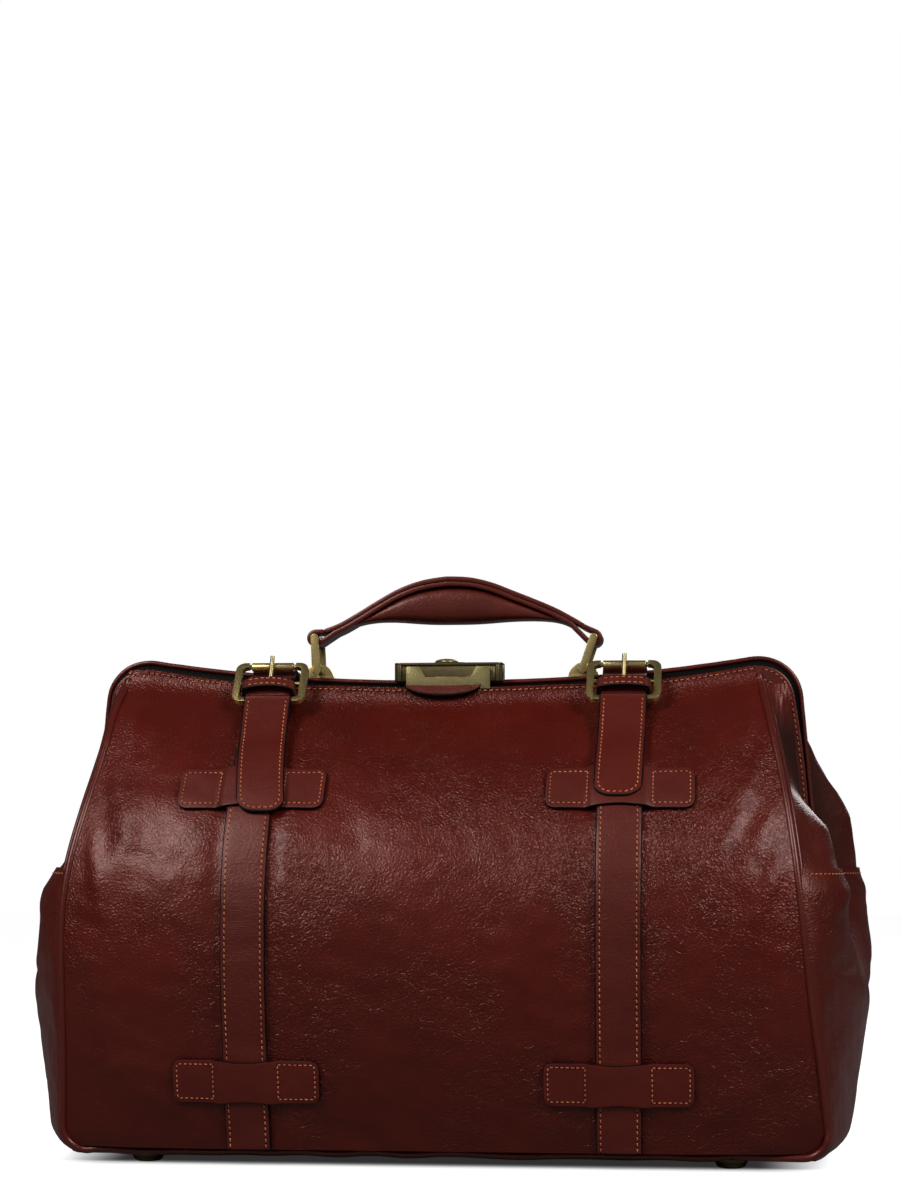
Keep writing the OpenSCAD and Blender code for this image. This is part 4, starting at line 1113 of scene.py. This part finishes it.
# How far the handle's upper side drops from its top, along its length.
DROP = catmull([(-96, 38.5), (-89.6, 36.3), (-84, 34.2), (-71, 29.4), (-58, 22.2), (-45, 14.4), (-32, 7.4),
                (-18.5, 2.6), (-5, 0.3), (1.5, 0), (14.5, 0.9), (28, 4.3), (41, 9.4), (54, 14.6), (67.5, 20.4),
                (80.5, 27.4), (88, 32), (98, 38)], 8)


def arch_z(x):
    return left_end[1] + 39 - read(DROP, x)


def touch(centre, p, r, turn):
    """Angle at which a line from p touches the circle round centre."""
    d = p - centre
    return math.atan2(d[1], d[0]) + turn * math.acos(r / np.linalg.norm(d))


def handle_line():
    """Middle of the leather: over the top, round the right ring's bar, back underneath and round the left one's."""
    r = LOOP_R
    xs = mid_x + arch_w * np.sin(np.linspace(-1, 1, 80) * math.pi / 2)
    xs = xs[(xs > left_end[0] + 5) & (xs < right_end[0] - 5)]
    top = np.stack([xs, arch_z(xs) - 1.5], 1)
    xb = np.linspace(right_end[0] - 15, left_end[0] + 13, 60)
    low = np.stack([xb, arch_z(xb) - 4.75], 1)
    ra = np.linspace(touch(right_end, top[-1], r, -1), touch(right_end, low[0], r, 1) - 2 * math.pi, 22)
    la = np.linspace(touch(left_end, low[-1], r, -1) + 2 * math.pi, touch(left_end, top[0], r, 1), 22)
    round_right = right_end + r * np.stack([np.cos(ra), np.sin(ra)], 1)
    round_left = left_end + r * np.stack([np.cos(la), np.sin(la)], 1)
    line = np.vstack([top, round_right, low, round_left])
    return np.vstack([line, line[:1]])


HANDLE_LINE = handle_line()


def handle_f(u, v):
    p, n = along(HANDLE_LINE, v)
    q = p - n * 1.5
    return points(q[..., 0], HANDLE_Y + (1 - 2 * u) * 11, q[..., 1])


handle = sheet("handle_strap_leather", handle_f, 10, 360, 3.1, ["handle", "handle"], bevel=1.2)
edit(handle, ("remove_doubles", {"threshold": 1e-5}))
outward(handle)
firm(handle, "handle", "strap_leather", "handle_strap")


def grip_f(u, v):
    """The bulged grip under the handle, with a seam along its lower side; its ends close to points."""
    x = mix(mid_x - 0.84 * arch_w, mid_x + 0.84 * arch_w, v)
    hi = arch_z(x) - 6.0
    full = np.clip(np.sin(math.pi * v), 0, 1) ** 0.35
    lo = hi - 2.0 - (hi - 2.0 - (arch_z(mid_x) - 5 - 25)) * full
    h = (hi - lo) / 2
    w = 11 * (0.72 + 0.28 * np.clip(h / 8, 0, 1))
    a = 2 * math.pi * u
    c, s = np.cos(a), np.sin(a)
    w, h = [k * ((v > 1e-6) & (v < 1 - 1e-6)) for k in (w, h)]
    wr = (0.14 * bumps(x, 30 * u, 91, 38) + 0.5 * np.exp(-((u - 0.75) / 0.02) ** 2)) * np.sin(math.pi * v)
    return points(x, HANDLE_Y + (w + wr) * np.sign(c) * np.abs(c) ** 0.7,
                  (hi + lo) / 2 + (h + wr) * np.sign(s) * np.abs(s) ** 0.7)


grip = sheet("grip", lambda u, v: grip_f(1 - u, v), 48, 100, 0, ["handle"], close=True, angle=70)
outward(grip)
firm(grip, "handle", "strap_leather", "handle_grip")

# ---- pull tab ----
CASE_Z = float(top_z(0)) - 0.8


def pull_f(u, v):
    """A half-round tab that hangs out and down from under the lock's plate."""
    a = math.pi * (1 + u)
    reach = -np.sin(a) * v
    x = -3.2 + 24.0 * np.cos(a)
    return points(x, -13.0 - 4.0 * reach, CASE_Z - 3.2 + 1.0 * (2 * u - 1) ** 2 - 6.4 * reach)


pull = sheet("pull_tab_leather", lambda u, v: pull_f(1 - u, v), 48, 12, 2.4, ["strap", "edge"], bevel=0.7,
             rim=(0, 0.17))
edit(pull, ("remove_doubles", {"threshold": 1e-5}))
outward(pull)
firm(pull, FRONT, "strap_leather", "pull_tab")


# ---- metal ----
def lowered(ob, by, reach):
    """The steel of the front half, drawn in from the frame's outer line so that the bead shows above it."""
    for v in ob.data.vertices:
        x, z = v.co.x / MM, v.co.z / MM
        d = (x - LINE[:, 0]) * INWARD[:, 0] + (z - LINE[:, 1]) * INWARD[:, 1]
        k = int(np.argmin(np.hypot(x - LINE[:, 0], z - LINE[:, 1])))
        if d[k] < reach:
            move = by * (1 - max(0.0, d[k]) / reach) * ease((z - 222) / 20)
            v.co.x += INWARD[k, 0] * move * MM
            v.co.z += INWARD[k, 1] * move * MM


BODIES = frame["record"]["behaviour"]["bodies"]
# Where the lock's slot is lowered: half its width, and the heights over the case between which its walls move.
SLOT_LOW = 2.4
SLOTS = {"lock_front_plate": (7.7, 2.45, 5.0), "lock_case": (9.3, 2.45, 6.4)}


def softened(node, mat, width, slot):
    """The CAD node's own form with its edges broken, in place of the node."""
    ob = bpy.data.objects.new(node + "_worn", frame["nodes"][node].data.copy())
    bpy.context.scene.collection.objects.link(ob)
    ob.matrix_world = Matrix.Identity(4)
    if node in SLOTS:
        half, low, high = SLOTS[node]
        floor_z = (CASE_Z + SLOT_LOW) * MM
        for v in ob.data.vertices:
            if abs(v.co.x) < half * MM and (CASE_Z + low) * MM < v.co.z < (CASE_Z + high) * MM:
                v.co.z = floor_z + (v.co.z - floor_z) * 0.1
    edit(ob, ("remove_doubles", {"threshold": 1e-6}), ("dissolve_limited", {"angle_limit": math.radians(0.5)}))
    if node == "front_frame_bar":
        lowered(ob, 2.6, 14.0)
    applied(ob, "BEVEL", width=width * MM, segments=3, limit_method="ANGLE", angle_limit=math.radians(30))
    dress(ob, [mat])
    for poly in ob.data.polygons:
        poly.material_index = 0
    smooth(ob, 40)
    firm(ob, next(name for name, nodes in BODIES.items() if node in nodes), slot, node)


for node, mat, width in (("buckle", "brass", 1.3), ("ring", "brass", 0.5), ("prong", "bright", 0.35),
                         ("roller", "brass", 0.3)):
    for side in ("left", "right"):
        softened(f"{side}_{node}", mat, width, "brass")
for node, mat, width, slot in (("lock_case", "bronze", 0.5, "bronze"), ("lock_top_plate", "bronze", 0.4, "bronze"),
                               ("lock_front_plate", "bright", 0.35, "brass"), ("handle_lugs", "brass", 0.5, "brass"),
                               ("lock_button", "bright", 0.2, "brass"),
                               ("front_frame_bar", "black", 0.3, "black_steel")):
    softened(node, mat, width, slot)
for node, mat in (("rear_frame_bar", "black"), ("hinge_pins", "steel"), ("base_board", "board"),
                  ("feet", "stud"), ("foot_washers", "steel"), ("latch_bar", "steel")):
    for s in frame["nodes"][node].material_slots:
        s.material = MAT[mat]

# ---- thread ----
for key, sewn in rows.items():
    for ob in sewn.make(f"stitches_{key}"):
        if key in BENT_ROWS:
            bent(ob, BENT_ROWS[key], "strap_leather")
        else:
            firm(ob, FIRM_ROWS[key], "strap_leather")

# ---- stage ----
floor = fresh("primitive_plane_add", size=12, location=(0, 0, 0))
floor.name = "floor"
# It glows white to the camera, with a painted shadow under the bag, because a glowing floor takes no shadow.
s = Shade("floor")
seen = Num(s, s.node("ShaderNodeLightPath").outputs["Is Camera Ray"])
part = s.node("ShaderNodeSeparateXYZ", None, {0: s.place()})
across, deep = Num(s, part.outputs[0]).do("ABSOLUTE"), Num(s, part.outputs[1]).do("ABSOLUTE")
# Mask of the painted shadow: the bag's footprint, with soft edges.
under = (1 - across.over(0.195, 0.250)) * (1 - deep.over(0.075, 0.118))
glow_with_painted_shadow = s.colour(under, (1, 1, 1), (0.03, 0.03, 0.03))
floor.data.materials.append(s.finish(Base_Color=s.colour(seen, (0.2, 0.2, 0.2), (0.3, 0.3, 0.3)), Roughness=0.9,
                                     Emission_Color=s.colour(seen, (0, 0, 0), glow_with_painted_shadow), Emission_Strength=0.96,
                                     Specular_IOR_Level=0.1))

world = bpy.data.worlds.new("studio")
bpy.context.scene.world = world
world.use_nodes = True
nodes, links = world.node_tree.nodes, world.node_tree.links
sky = nodes["Background"]
path_node = nodes.new("ShaderNodeLightPath")
glow = nodes.new("ShaderNodeMapRange")
links.new(path_node.outputs["Is Camera Ray"], glow.inputs["Value"])
glow.inputs["To Min"].default_value, glow.inputs["To Max"].default_value = 0.055, 1.0
links.new(glow.outputs["Result"], sky.inputs["Strength"])
sky.inputs["Color"].default_value = (1, 1, 1, 1)


def light(name, place, aim, size, power, size_y=None):
    """A softbox at a place, turned to its aim; sizes in metres, power in watts."""
    bpy.ops.object.light_add(type="AREA", location=place)
    ob = bpy.context.object
    ob.name = name
    ob.rotation_euler = (Vector(aim) - Vector(place)).to_track_quat("-Z", "Y").to_euler()
    ob.data.shape = "RECTANGLE"
    ob.data.size, ob.data.size_y, ob.data.energy = size, size_y or size, power


light("left softbox", (-1.1, -1.4, 1.6), (-0.05, 0, 0.2), 0.8, 40, 1.2)
light("right softbox", (1.35, -1.15, 1.45), (0.1, 0, 0.2), 0.7, 33, 1.1)
light("rear softbox", (0.6, 2.0, 1.1), (0, 0, 0.2), 1.0, 14)
light("front fill", (-0.4, -3.2, 0.8), (0, 0, 0.2), 2.0, 3.5, 1.4)

bpy.ops.object.camera_add(location=(0.1725, -1.641, 0.193), rotation=(math.radians(90), 0, math.radians(6)))
cam = bpy.context.object
cam.name = "camera"
cam.data.lens, cam.data.shift_y = 76.7, 0.208
bpy.context.scene.camera = cam
bpy.context.scene.view_settings.view_transform = "Standard"
